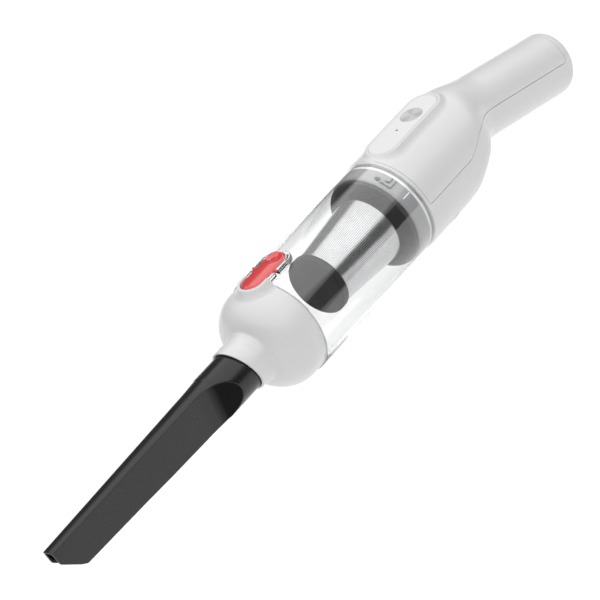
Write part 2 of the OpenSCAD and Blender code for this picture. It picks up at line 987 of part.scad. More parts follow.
crevice_tool();
nose_cap();
nose_seal();
inlet_flap();
flap_pin();
nose_hinge_pin();
latch_lever();
latch_pin();
latch_spring();
dust_cup();
cup_seal();
filter_end_cap();
filter_mesh();
pleated_filter();
filter_core();
filter_flange();
filter_seal();
bayonet_sleeve();
collar_ring();
intake_grid();
top_cover();
lower_housing();
control_panel();
power_button();
status_light();
main_board();
push_switch();
switch_plunger();
fan_shroud();
impeller();
motor_shaft();
front_bearing();
rear_bearing();
motor_rotor();
motor_stator();
motor_can();
motor_front_plate();
motor_mount();
motor_bracket();
exhaust_foam();
battery_cell_left();
battery_cell_right();
battery_cradle();
battery_tabs();
charge_board();
charge_port();
housing_screws();
motor_leads();
battery_leads();
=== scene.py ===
"""Cordless handheld vacuum cleaner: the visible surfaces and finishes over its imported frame.

Lengths in the shape functions are millimetres from the joint between the nose and the cup,
X back towards the grip and Z up through the power button. put() moves them to the row frame.
Angles round the body start at the top and grow towards the near side, which is -Y.
"""

import json
import math

import bmesh
import bpy
import numpy as np
from bpy.props import FloatProperty, FloatVectorProperty, IntProperty, PointerProperty
from mathutils import Matrix, Vector


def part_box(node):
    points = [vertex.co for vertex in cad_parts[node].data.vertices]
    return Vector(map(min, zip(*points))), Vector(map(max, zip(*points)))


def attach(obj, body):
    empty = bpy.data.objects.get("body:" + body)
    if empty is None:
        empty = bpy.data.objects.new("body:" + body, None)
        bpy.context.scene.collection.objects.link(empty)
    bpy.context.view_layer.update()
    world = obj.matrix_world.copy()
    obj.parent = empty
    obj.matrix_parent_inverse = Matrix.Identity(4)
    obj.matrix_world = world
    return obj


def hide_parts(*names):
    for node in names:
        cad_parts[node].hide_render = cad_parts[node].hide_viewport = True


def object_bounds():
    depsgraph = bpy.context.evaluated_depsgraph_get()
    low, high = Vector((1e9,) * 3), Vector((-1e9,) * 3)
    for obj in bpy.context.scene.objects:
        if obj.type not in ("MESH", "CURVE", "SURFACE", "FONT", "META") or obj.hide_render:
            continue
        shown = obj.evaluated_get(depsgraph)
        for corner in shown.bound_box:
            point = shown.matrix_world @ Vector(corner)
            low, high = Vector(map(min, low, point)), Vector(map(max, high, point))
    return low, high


bl_info = {
    "name": "Handheld Vacuum",
    "version": (1, 0, 0),
    "blender": (4, 5, 0),
    "location": "3D View > Sidebar > Vacuum",
    "description": "Builds the covers, cup, filter, latch and tool of a cordless handheld vacuum",
    "category": "Add Mesh",
}

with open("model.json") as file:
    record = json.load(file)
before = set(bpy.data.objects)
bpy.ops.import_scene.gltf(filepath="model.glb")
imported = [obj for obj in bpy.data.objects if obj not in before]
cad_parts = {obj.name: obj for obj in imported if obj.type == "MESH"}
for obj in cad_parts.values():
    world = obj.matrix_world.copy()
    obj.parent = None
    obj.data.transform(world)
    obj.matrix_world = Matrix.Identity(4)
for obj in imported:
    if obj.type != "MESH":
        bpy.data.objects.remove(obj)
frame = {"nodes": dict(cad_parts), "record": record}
CAD_BOX = [list(corner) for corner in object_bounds()]

MM = 0.001
GAP = 0.3


def low(node):
    """Lowest corner of a CAD node in millimetres of the row frame."""
    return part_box(node)[0] / MM


def high(node):
    """Highest corner of a CAD node in millimetres of the row frame."""
    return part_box(node)[1] / MM


def reach(node):
    """First and last station of a CAD node, counted from the joint."""
    return low(node).x - JOINT_X, high(node).x - JOINT_X


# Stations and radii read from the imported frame.
JOINT_X = low("dust_cup").x - GAP
BODY_R = high("collar_ring").y
WALL = 2.0
CUP_END = high("dust_cup").x - JOINT_X
CUP_IN = BODY_R - 1.8
NOSE_R = BODY_R - 0.9
SLEEVE_X, SLEEVE_END = reach("bayonet_sleeve")
SLEEVE_R = CUP_IN - 0.3
RING_X1, RING_X2 = reach("collar_ring")
LID_X = 123.4
LIP_X = 119.0
DISC_X, DISC_END = reach("filter_end_cap")
DISC_R = high("filter_end_cap").y
MESH_X1, MESH_X2 = reach("filter_mesh")
MESH_R2 = high("filter_mesh").y
MESH_R1 = MESH_R2 - 4.5
FLANGE_R = high("filter_flange").y
FLANGE_X2 = MESH_X2 + 5.4
TOOL_TIP, TOOL_ROOT = reach("crevice_tool")
TOOL_R = high("crevice_tool").y
PAD_X1, PAD_X2 = reach("control_panel")
PAD_HALF = high("control_panel").y
PAD_TOP = high("control_panel").z
BUTTON_TOP = high("power_button").z
LATCH_X1, LATCH_X2 = reach("latch_lever")
LATCH_HALF = high("latch_lever").y
LATCH_TOP = high("latch_lever").z
RIM_TOP = 38.4
SEAT_TOP = 37.5

# Nose and collar.
DOME_X = -8.0
DOME_R = 22.0
DOME_OFF = 13.0
MOUTH_X = -44.0
MOUTH_TILT = math.tan(math.radians(15))
COLLAR_X1 = -39.3
COLLAR_X2 = -30.8
NECK_R = 17.7
DUCT_R = 13.5

# Crevice tool's flats.
FLAT_END = -88.0
FLAT_HALF = 6.1
SWEEP_R = 50.0

# Hinge below the joint.
HINGE_X = 1.5
HINGE_R = 1.95
HINGE_Z = low("dust_cup").z + HINGE_R
HINGE_IN = 3.4
HINGE_OUT = high("nose_hinge_pin").y

# Twist lock: the slot's two arms, its open end, and the padlock mark (stations and degrees).
SLOT_X1 = 109.8
SLOT_X2 = 113.0
SLOT_END = 117.4
LOCK_X = 111.6
LOCK_TURN = 21.4

# Camera and floor.
LENS = 168.0
CAMERA_RIGHT = (0.5658, -0.7396, -0.3645)
CAMERA_UP = (0.6122, 0.0806, 0.7866)
CAMERA_AT = (-0.9323, -1.1566, 0.8648)
FLOOR_HALF = 3.2
FLOOR_DROP = 0.30

# Exhaust slots under the body.
VENT_X = 138.0
VENT_PITCH = 4.0
VENT_WIDTH = 2.0
VENT_COUNT = 6
VENT_HALF = 13.0

# Grip and covers.
BEND_X = 216.0
GRIP_DROP = math.radians(13.63)
GRIP_R = 22.2
GRIP_LEN = 97.0
GRIP_Z = 6.85
END_SEAM = 88.9
CORNER = 3.2
PART_Z = 4.1
BUTTON_X = 172.6
BUTTON_R = 7.9
LIGHT_X = 155.5
SCREWS = ((150.0, -24.0), (150.0, 24.0), (211.0, 0.0))
SCREW_HOLE_R = 2.3
END_ROUND = 4.5
PORT_HALF_W = 4.6
PORT_HALF_H = 1.75
TONGUE_TOP = 0.75
TONGUE_BACK = 1.7
TONGUE_HALF = 1.6


# ------------------------------------------------------------------ small maths


def smin(a, b, k):
    """Smooth lesser of two: (a + b - sqrt((a - b)^2 + k^2)) / 2."""
    return (a + b - np.sqrt((a - b) ** 2 + k * k)) / 2


def smax(a, b, k):
    """Smooth greater of two: (a + b + sqrt((a - b)^2 + k^2)) / 2."""
    return (a + b + np.sqrt((a - b) ** 2 + k * k)) / 2


def ease(u):
    """Slow-in, slow-out step from 0 to 1: 3t^2 - 2t^3 of u held between 0 and 1."""
    t = np.clip(u, 0, 1)
    return t * t * (3 - 2 * t)


def mix(a, b, s):
    """Straight blend from a at s = 0 to b at s = 1."""
    return a * (1 - s) + b * s


def grip_z(x):
    """Height of the grip's axis, which falls at the grip's angle behind the bend."""
    return GRIP_Z - (x - BEND_X) * math.tan(GRIP_DROP)


def top_z(x):
    """Top line: the body's radius eased into the top of the round grip."""
    return mix(BODY_R, grip_z(x) + GRIP_R / math.cos(GRIP_DROP), ease((x - BEND_X + 32) / 48))


def low_z(x):
    """Underside: the body's radius, a 0.8 slope up to the bend, then the grip's underside."""
    belly = smax(-BODY_R, -14.5 + 0.8 * (x - BEND_X + 10.5), 4)
    return smin(belly, grip_z(x) - GRIP_R / math.cos(GRIP_DROP), 2)


def side_y(x):
    """Half width: the body's radius narrowing at a 0.75 slope to the grip's radius."""
    return np.minimum(smax(smin(BODY_R, 27.5 - 0.75 * (x - BEND_X + 9.5), 4), GRIP_R, 4), BODY_R)


def mid_z(x):
    """Level of the widest point, which moves from the body's axis to the grip's."""
    return mix(0.0, grip_z(x), ease((x - BEND_X + 40) / 44))


def seam_z(x):
    """Level of the parting line between the covers."""
    return mix(PART_Z, grip_z(x) + PART_Z, ease((x - BEND_X + 46) / 33))


def lean(u):
    """How far a ring's top leads its middle: none on the body, square across the grip."""
    return GRIP_R * math.sin(GRIP_DROP) * ease((u - BEND_X + 14) / 32)


def seam_angle(u):
    """Angle from the top at which the parting line lies. Its two ends turn up in quarter-round
    corners, so that the top cover sits in the bottom one like a lid."""
    x = u + 0.15 * lean(u)
    base = np.arccos((seam_z(x) - mid_z(x)) / (top_z(x) - mid_z(x)))
    s = (u - BEND_X) / math.cos(GRIP_DROP)
    behind = np.clip(s - (END_SEAM - CORNER), 0, CORNER)
    ahead = np.clip(LID_X + CORNER - u, 0, CORNER)
    turn = (CORNER - np.sqrt(CORNER**2 - behind**2)) / GRIP_R
    return base - turn - (CORNER - np.sqrt(CORNER**2 - ahead**2)) / BODY_R


def skin(u, a, t=0.0):
    """Point of the covers' skin: an oval ring at station u, half circles above and below its
    widest level, leaning with the grip, sunk by t."""
    x = u + lean(u) * (1 - t / GRIP_R) * np.cos(a)
    m = mid_z(x)
    rise = np.where(np.cos(a) > 0, top_z(x) - m - t, m - low_z(x) - t)
    return coords(x, -(side_y(x) - t) * np.sin(a), m + rise * np.cos(a))


def skin_height(x, y):
    """Height of the covers' top skin over plan point x, y."""
    m = mid_z(x)
    return m + (top_z(x) - m) * np.sqrt(np.clip(1 - (y / side_y(x)) ** 2, 0, 1))


def nose_radius(x):
    """Radius of the nose at station x: a dome of radius 22 about (-8, 13), then straight."""
    d = np.clip(DOME_X - x, 0, DOME_R)
    return np.where(x > DOME_X, NOSE_R, DOME_OFF + np.sqrt(DOME_R**2 - d**2))


def nose_height(x, y):
    """Height of the nose's top over plan point x, y."""
    return np.sqrt(np.clip(nose_radius(x) ** 2 - y**2, 1, None))


def in_grip(p):
    """Moves points from the grip's frame, X along the grip from the bend, to the body's."""
    c, s = math.cos(GRIP_DROP), math.sin(GRIP_DROP)
    x, y, z = p[..., 0], p[..., 1], p[..., 2]
    return coords(BEND_X + x * c + z * s, y, GRIP_Z - x * s + z * c)


# ------------------------------------------------------------------ outlines and surfaces


def coords(*axes):
    """Joins coordinates, each an array or one number, into points."""
    return np.stack(np.broadcast_arrays(*axes), -1)


def turn(steps):
    """Angles once round, without the last."""
    return np.linspace(0, 2 * np.pi, steps, endpoint=False)


def soften(outline, cut, steps=4):
    """Rounds every corner of a closed outline: each corner P becomes the quadratic curve from
    cut before P to cut after P, never past the middle of an edge."""
    p = np.asarray(outline, float)
    before, after = np.roll(p, 1, 0) - p, np.roll(p, -1, 0) - p
    lb = np.linalg.norm(before, axis=1, keepdims=True)
    la = np.linalg.norm(after, axis=1, keepdims=True)
    a = p + before / lb * np.minimum(cut, lb * 0.45)
    b = p + after / la * np.minimum(cut, la * 0.45)
    t = np.linspace(0, 1, steps + 1)[None, :, None]
    curve = (1 - t) ** 2 * a[:, None] + 2 * t * (1 - t) * p[:, None] + t**2 * b[:, None]
    return curve.reshape(-1, p.shape[1])


def quads(rows, cols, wrap_rows=False, wrap_cols=False):
    """Four-sided faces over a grid of rows by cols points, joined end to end where wrapped."""
    i = np.arange(rows if wrap_rows else rows - 1)[:, None]
    j = np.arange(cols if wrap_cols else cols - 1)[None, :]
    i2, j2 = (i + 1) % rows, (j + 1) % cols
    return coords(i * cols + j, i * cols + j2, i2 * cols + j2, i2 * cols + j).reshape(-1, 4)


def surface(points, wrap_rows=False, wrap_cols=False):
    """A grid of points as one part: its points and faces."""
    rows, cols = points.shape[:2]
    return points.reshape(-1, 3), quads(rows, cols, wrap_rows, wrap_cols)


def around(outline, angles):
    """Revolves [station, radius] pairs: (x, -r sin a, r cos a)."""
    p = np.asarray(outline, float)
    r = p[:, 1:]
    return coords(p[:, :1], -r * np.sin(angles), r * np.cos(angles))


def lathe(outline, turns=144, closed=True):
    """A full revolution of an outline about the body's axis; closed joins the outline's ends."""
    return surface(around(outline, turn(turns)), wrap_rows=closed, wrap_cols=True)


def arc_block(x1, x2, r1, r2, a1, a2, steps=12):
    """A block of a ring wall between two stations, radii and angles in degrees."""
    a = np.radians(np.linspace(a1, a2, steps))
    outline = soften([[x1, r1], [x1, r2], [x2, r2], [x2, r1]], 0.15, 2)
    pts = around(outline, a)
    return capped(np.swapaxes(pts, 0, 1))


def capped(rings):
    """Closed rings of points carried one after another, with both ends filled."""
    rows, cols = rings.shape[:2]
    faces = quads(rows, cols, wrap_cols=True).tolist()
    last = (rows - 1) * cols
    faces += [list(range(cols - 1, -1, -1)), list(range(last, last + cols))]
    return rings.reshape(-1, 3), faces


def prism(outline, y1, y2, cut=0.3):
    """An outline in X and Z carried straight along Y, its ends drawn in by a small chamfer."""
    p = np.asarray(outline, float)
    c = p.mean(0)
    small = c + (p - c) * (1 - cut / np.linalg.norm(p - c, axis=1, keepdims=True))
    ys = np.array([y1, y1 + cut, y2 - cut, y2])
    ring = np.stack([small, p, p, small])
    return capped(coords(ring[..., 0], ys[:, None], ring[..., 1]))


def slot_path(x1, x2, half, arc=28, straight=14):
    """A stadium seen from above: spine points and outward directions, once round from the
    back end of the near side. The spine is the line between the two round ends' centres."""
    c1, c2 = x1 + half, x2 - half
    t = np.linspace(0, np.pi, arc)
    back = np.linspace(c2, c1, straight + 2)[1:-1]
    zero, one = np.zeros(straight), np.ones(straight)
    spine = np.concatenate([back, np.full(arc, c1), back[::-1], np.full(arc, c2)])
    nx = np.concatenate([zero, -np.sin(t), zero, np.sin(t)])
    ny = np.concatenate([-one, -np.cos(t), one, np.cos(t)])
    return coords(spine, 0.0), coords(nx, ny)


def half_path(x_end, x_tip, half, arc=40, straight=12):
    """Half a stadium from x_end round its tip and back: plan points and outward directions."""
    sign = 1 if x_tip > x_end else -1
    centre = x_tip - sign * half
    t = np.linspace(0, np.pi, arc)
    run = np.linspace(x_end, centre, straight, endpoint=False)
    x = np.concatenate([run, centre + sign * half * np.sin(t), run[::-1]])
    y = np.concatenate([np.full(straight, -half), -half * np.cos(t), np.full(straight, half)])
    nx = np.concatenate([np.zeros(straight), sign * np.sin(t), np.zeros(straight)])
    ny = np.concatenate([-np.ones(straight), -np.cos(t), np.ones(straight)])
    return coords(x, y), coords(nx, ny)


def apron(plan, normal, ground, top, reach, inner, floor, closed=False, power=2.0):
    """A raised rim with a hollow flare round a plan outline: at a distance d outside, its height
    is ground + (top - ground) ((reach - d) / reach)^power; then a rounded edge, a flat top, an
    inner wall at depth inner and a floor below."""
    t = np.linspace(0, 1, 14) ** 0.8
    d = reach * (1 - t)
    share = t**power
    edge = np.array([[0.06, 0.93], [-0.03, 0.972], [-0.16, 0.993], [-0.35, 1.0]])
    d = np.concatenate([d[:-1], edge[:, 0], [-(inner - 0.25), -(inner - 0.06), -inner]])
    share = np.concatenate([share[:-1], edge[:, 1], [1.0, 0.985, 0.94]])
    xy = plan[None] + normal[None] * d[:, None, None]
    base = ground(xy[..., 0], xy[..., 1])
    z = base + (top - base) * share[:, None]
    z[0] = base[0] - 0.05
    deep = np.stack([plan - normal * inner, plan + normal * reach])
    if floor is None:
        dz = np.maximum(ground(deep[..., 0], deep[..., 1]) + 0.03, 0)
        z[0] = base[0] + 0.12
    else:
        dz = np.stack([np.full(len(plan), floor), base[0] - 0.8])
    rings = np.concatenate([np.concatenate([xy, z[..., None]], -1),
                            np.concatenate([deep, dz[..., None]], -1)])
    rings = np.swapaxes(rings, 0, 1)
    return surface(rings, wrap_rows=True, wrap_cols=True) if closed else capped(rings)


def strip(path, half, r1, r2):
    """A flat bar laid on a cylinder along straight runs of (station, degrees) points."""
    p = np.asarray(path, float)
    p = coords(p[:, 0], np.radians(p[:, 1]) * r2)
    d = np.gradient(p, axis=0)
    n = coords(-d[:, 1], d[:, 0]) / np.linalg.norm(d, axis=1, keepdims=True)
    sides = np.stack([p - n * half, p + n * half])
    ring = np.concatenate([sides, sides[::-1]])
    r = np.array([r2, r2, r1, r1])[:, None]
    a = ring[..., 1] / r2
    pts = coords(ring[..., 0], -r * np.sin(a), r * np.cos(a))
    return capped(np.swapaxes(pts, 0, 1))


def put(name, parts, body, slot, replaces=(), crease=32.0, recalc=True, dress=None):
    """Makes one object of the given parts, welds it, turns its faces out, and lets it ride. Its
    finish is the slot's own, or the one named by dress."""
    offset, faces = 0, []
    for points, polygons in parts:
        polys = polygons.tolist() if isinstance(polygons, np.ndarray) else polygons
        faces += [[v + offset for v in f] for f in polys]
        offset += len(points)
    co = (np.concatenate([points for points, _ in parts]) + [JOINT_X, 0, 0]) * MM
    mesh = bpy.data.meshes.new(name)
    mesh.from_pydata(co, [], faces)
    bm = bmesh.new()
    bm.from_mesh(mesh)
    bmesh.ops.remove_doubles(bm, verts=bm.verts, dist=1e-6)
    if recalc:
        bmesh.ops.recalc_face_normals(bm, faces=bm.faces)
    bm.to_mesh(mesh)
    bm.free()
    mesh.polygons.foreach_set("use_smooth", np.ones(len(mesh.polygons), bool))
    mesh.set_sharp_from_angle(angle=math.radians(crease))
    mesh.materials.append(finish(dress or slot))
    obj = bpy.data.objects.new(name, mesh)
    bpy.context.scene.collection.objects.link(obj)
    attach(obj, body)
    if replaces:
        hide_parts(*replaces)
    return obj


# ------------------------------------------------------------------ finishes


class Wires:
    """Adds and links the nodes of one tree, which starts empty."""

    def __init__(self, tree):
        self.nodes, self.links = tree.nodes, tree.links
        self.nodes.clear()

    def add(self, kind, *inputs, **settings):
        """A node with its settings, its inputs linked or set in order."""
        node = self.nodes.new("ShaderNode" + kind)
        for key, value in settings.items():
            setattr(node, key, value)
        for i, value in enumerate(inputs):
            if isinstance(value, bpy.types.NodeSocket):
                self.links.new(value, node.inputs[i])
            elif value is not None:
                node.inputs[i].default_value = value
        return node

    def math(self, operation, a, b=0.0, c=0.0):
        """One step of arithmetic."""
        return self.add("Math", a, b, c, operation=operation).outputs[0]

    def span(self, value, a, b, lo=0.3, hi=0.7, **settings):
        """Carries value from lo..hi to a..b, held at the ends."""
        node = self.add("MapRange", value, **settings)
        for key, number in (("From Min", lo), ("From Max", hi), ("To Min", a), ("To Max", b)):
            node.inputs[key].default_value = number
        return node.outputs[0]

    def step(self, value, lo, hi, a=0.0, b=1.0):
        """The same with slow ends."""
        return self.span(value, a, b, lo, hi, interpolation_type="SMOOTHSTEP")


class Shade(Wires):
    """The nodes of one material."""

    def __init__(self, name):
        self.material = bpy.data.materials.new(name)
        self.material.use_nodes = True
        super().__init__(self.material.node_tree)
        self.shader = self.add("BsdfPrincipled")
        self.add("OutputMaterial", self.shader.outputs[0])
        self.place = self.add("TexCoord").outputs["Object"]

    def set(self, **values):
        """Sets the shader's own sockets; an underscore stands for a space."""
        for key, value in values.items():
            self.shader.inputs[key.replace("_", " ")].default_value = value

    def mapped(self, scale=(1, 1, 1), shift=(0, 0, 0), turn=(0, 0, 0)):
        """The piece's own coordinates, moved, turned and scaled."""
        node = self.add("Mapping", self.place)
        node.inputs["Location"].default_value = shift
        node.inputs["Rotation"].default_value = turn
        node.inputs["Scale"].default_value = scale
        return node.outputs[0]

    def noise(self, scale, detail=3.0, rough=0.5, place=None):
        """Cloudy noise; scale counts per metre."""
        node = self.add("TexNoise", place or self.place)
        node.inputs["Scale"].default_value = scale
        node.inputs["Detail"].default_value = detail
        node.inputs["Roughness"].default_value = rough
        return node.outputs[0]

    def cells(self, scale, place=None, feature="F1"):
        """Cell distance; scale counts per metre."""
        node = self.add("TexVoronoi", place or self.place, feature=feature)
        node.inputs["Scale"].default_value = scale
        return node.outputs["Distance"]

    def blend(self, share, a, b):
        """Colour from a to b by share."""
        node = self.nodes.new("ShaderNodeMix")
        node.data_type = "RGBA"
        for key, value in (("Factor_Float", share), ("A_Color", a), ("B_Color", b)):
            socket = next(s for s in node.inputs if s.identifier == key)
            if isinstance(value, bpy.types.NodeSocket):
                self.links.new(value, socket)
            elif key == "Factor_Float":
                socket.default_value = value
            else:
                socket.default_value = rgba(value)
        return next(s for s in node.outputs if s.identifier == "Result_Color")

    def feed(self, socket, value):
        """Links a value to one of the shader's sockets."""
        self.links.new(value, self.shader.inputs[socket])

    def tone(self, share, a, b):
        """The surface's colour, from a to b by share."""
        self.feed("Base Color", self.blend(share, a, b))

    def sheen(self, value, a, b, lo=0.3, hi=0.7):
        """The surface's roughness: value carried from lo..hi to a..b."""
        self.feed("Roughness", self.span(value, a, b, lo, hi))

    def bump(self, height, depth, strength=1.0):
        """Raises the surface by height times depth, in metres."""
        node = self.nodes.new("ShaderNodeBump")
        node.inputs["Strength"].default_value = strength
        node.inputs["Distance"].default_value = depth
        self.links.new(height, node.inputs["Height"])
        previous = self.shader.inputs["Normal"]
        if previous.is_linked:
            self.links.new(previous.links[0].from_socket, node.inputs["Normal"])
        self.links.new(node.outputs[0], previous)


def rgba(colour):
    """A colour with its alpha."""
    return tuple(colour)[:3] + (1.0,)


def scaled(colour, share):
    """A colour times a share of itself."""
    return tuple(c * share for c in tuple(colour)[:3])


def moulding(name, colour, roughness, grain=0.35, depth=0.000006, mottle=0.96, level=0.5, coat=0.0):
    """Moulded plastic: faint flow clouds in the colour, an uneven sheen and a fine grain."""
    s = Shade(name)
    clouds = s.noise(22.0, 4.0, 0.55)
    specks = s.noise(950.0, 2.0, 0.6)
    tone = s.blend(s.span(clouds, 0.0, 1.0), scaled(colour, mottle), colour)
    s.tone(s.span(specks, 0.0, 0.10), tone, scaled(colour, 0.86))
    s.feed("Roughness", s.math("ADD", s.span(clouds, roughness - 0.035, roughness + 0.035),
                               s.span(specks, -0.02, 0.02)))
    s.bump(s.noise(1.0 / (grain * MM), 2.0, 0.55), depth)
    s.bump(s.noise(60.0, 2.0, 0.5), 0.00002, 0.25)
    s.set(Specular_IOR_Level=level, Coat_Weight=coat, Coat_Roughness=0.12, IOR=1.5)
    return s


def moulded(name, *given):
    """The material of a plain moulding."""
    return moulding(name, *given).material


def sweep_painted_shade(name, colour, roughness):
    """Moulded black plastic whose flats run out into a sweep with its reflection turned down, so that
    it reads darker: painted shade.
    """
    s = moulding(name, colour, roughness, 0.22, 0.000006, 0.85)
    sep = s.add("SeparateXYZ", s.place)
    square = [s.math("MULTIPLY", sep.outputs[i], sep.outputs[i]) for i in (1, 2)]
    radius = s.math("SQRT", s.math("ADD", *square))
    inside = s.span(radius, 1.0, 0.0, (TOOL_R - 0.5) * MM, (TOOL_R - 0.25) * MM)
    along = s.span(sep.outputs[0], 0.0, 1.0, (JOINT_X - 84) * MM, (JOINT_X - 66) * MM)
    outer = s.span(sep.outputs[0], 1.0, 0.0, (JOINT_X - 57) * MM, (JOINT_X - 56) * MM)
    # Painted shade: over the sweep at the flats' ends the reflection falls from 0.5 to 0.04, so that
    # the sweep looks darker.
    deep = s.math("MULTIPLY", s.math("MULTIPLY", inside, along), outer)
    s.feed("Specular IOR Level", s.span(deep, 0.5, 0.04))
    return s.material


def brushed(name, colour, roughness, stretch=(1, 30, 30), streak=900.0, shift=(0, 0, 0)):
    """Metal with long fine scratches and cloudy tarnish."""
    s = Shade(name)
    lines = s.noise(streak, 3.0, 0.6, s.mapped(scale=[k / max(stretch) for k in stretch], shift=shift))
    clouds = s.noise(70.0, 3.0, 0.55)
    s.tone(s.span(clouds, 0, 1), scaled(colour, 0.88), colour)
    s.feed("Roughness", s.math("ADD", s.span(lines, roughness - 0.06, roughness + 0.08),
                               s.span(clouds, -0.02, 0.03)))
    s.bump(lines, 0.000004, 0.5)
    s.set(Metallic=1.0)
    return s.material


def clear(name, tint, bend, gloss, roughness=0.015):
    """Clear moulded plastic with faint ripples, hairline scuffs and a trace of haze. A thin wall
    hardly bends the view (bend near 1) and takes its reflections from the gloss."""
    s = Shade(name)
    ripple = s.noise(38.0, 2.0, 0.4)
    scuff = s.noise(420.0, 4.0, 0.7, s.mapped(scale=(0.12, 1, 1)))
    s.tone(s.span(ripple, 0.0, 1.0), tint, scaled(tint, 0.985))
    s.sheen(scuff, roughness, roughness + 0.03, 0.55, 0.75)
    s.bump(ripple, 0.00004, 0.25)
    s.set(Transmission_Weight=1.0, IOR=bend, Coat_Weight=gloss, Coat_IOR=1.62, Coat_Roughness=0.02)
    return s.material


def rubber(name, colour):
    """Matt seal rubber with a bloom of dust and a pebbled skin."""
    s = Shade(name)
    bloom = s.noise(160.0, 4.0, 0.65)
    s.tone(s.span(bloom, 0.0, 0.6), colour, [min(0.9, 1.4 * c) for c in colour])
    s.sheen(bloom, 0.58, 0.74)
    s.bump(s.cells(2600.0), 0.00001, 0.5)
    s.set(Specular_IOR_Level=0.4)
    return s.material


def perforated(name, colour, hole, per_turn=118.0, pitch=0.8):
    """Fine perforated steel: round holes in lines along the cone, counted round it and along it."""
    s = Shade(name)
    sep = s.add("SeparateXYZ", s.place)
    turn = s.math("ARCTAN2", sep.outputs[1], sep.outputs[2])
    v = s.math("MULTIPLY", sep.outputs[0], 1.0 / (pitch * MM))
    u = s.math("MULTIPLY", turn, per_turn / (2 * math.pi))
    du = s.math("SUBTRACT", s.math("FRACT", u), 0.5)
    dv = s.math("SUBTRACT", s.math("FRACT", v), 0.5)
    dist = s.math("SQRT", s.math("ADD", s.math("MULTIPLY", du, du), s.math("MULTIPLY", dv, dv)))
    solid = s.span(dist, 0.0, 1.0, 0.26, 0.36)
    tarnish = s.noise(90.0, 3.0, 0.55)
    steel = s.blend(s.span(tarnish, 0, 1), scaled(colour, 0.92), colour)
    s.tone(solid, hole, steel)
    s.sheen(tarnish, 0.17, 0.22)
    s.bump(solid, 0.00004, 0.25)
    s.set(Metallic=1.0)
    return s.material


def spun(name, colour):
    """Spun metal: the grain runs in rings; the two opposite fan-shaped highlights that such grain
    gathers are painted into the colour as painted highlight.
    """
    s = Shade(name)
    ring = s.mapped(shift=(-(JOINT_X + BUTTON_X) * MM, 0, 0))
    sep = s.add("SeparateXYZ", ring)
    x, y = sep.outputs[0], sep.outputs[1]
    radius = s.math("SQRT", s.math("ADD", s.math("MULTIPLY", x, x), s.math("MULTIPLY", y, y)))
    line = s.noise(5200.0, 2.0, 0.6, s.add("CombineXYZ", radius, 0.0, 0.0).outputs[0])
    turn = s.math("ARCTAN2", y, x)
    # Painted highlight: the colour runs lighter and darker with the angle round the middle, in place of
    # the light that ring grain gathers.
    painted_highlight = s.math("ABSOLUTE", s.math("COSINE", s.math("ADD", s.math("MULTIPLY", turn, 1.5), 0.5)))
    s.tone(s.span(painted_highlight, 0.0, 1.0, 0.1, 0.95), scaled(colour, 0.78), colour)
    s.sheen(line, 0.26, 0.42)
    s.bump(line, 0.000006, 0.5)
    s.set(Metallic=0.1, Specular_IOR_Level=0.15)
    return s.material


def paper(name, colour):
    """Filter paper: fibres and a little grey dust."""
    s = Shade(name)
    fibre = s.noise(1500.0, 5.0, 0.7, s.mapped(scale=(0.25, 1, 1)))
    dust = s.noise(60.0, 4.0, 0.6)
    s.tone(s.span(dust, 0.0, 0.35), colour, scaled(colour, 0.6))
    s.sheen(fibre, 0.8, 0.95)
    s.bump(fibre, 0.00006, 0.6)
    return s.material


def foam(name, colour):
    """Open foam: round pores of half a millimetre or so, each painted darker towards its middle:
    painted shade in the hollows.
    """
    s = Shade(name)
    pores = s.cells(1300.0)
    # Painted shade: each pore darkens towards its middle; roughness and bump follow the pores as well.
    s.tone(s.span(pores, 0.0, 1.0, 0.1, 0.6), scaled(colour, 0.35), colour)
    s.sheen(pores, 0.98, 0.82, 0.1, 0.6)
    s.bump(pores, 0.0003, 0.8)
    return s.material


def board(name, colour):
    """Circuit board: solder mask with lighter tracks on a fine grid."""
    s = Shade(name)
    track = s.add("TexBrick", s.mapped(scale=(1, 1, 1)))
    for key, value in (("Scale", 260.0), ("Mortar Size", 0.05), ("Brick Width", 0.9),
                       ("Row Height", 0.3)):
        track.inputs[key].default_value = value
    s.tone(track.outputs["Fac"], colour, scaled(colour, 1.9))
    s.sheen(s.noise(300.0), 0.25, 0.4)
    s.bump(track.outputs["Fac"], 0.00003, 0.5)
    return s.material


def windings(name, colour):
    """Enamelled copper in close turns over a laminated core."""
    s = Shade(name)
    wave = s.add("TexWave", s.place, wave_type="BANDS", bands_direction="Y")
    wave.inputs["Scale"].default_value = 380.0
    wave.inputs["Distortion"].default_value = 0.6
    s.tone(wave.outputs["Fac"], scaled(colour, 0.45), colour)
    s.sheen(s.noise(240.0), 0.25, 0.4)
    s.bump(wave.outputs["Fac"], 0.0002, 0.6)
    s.set(Metallic=0.9)
    return s.material


FINISHES = {}


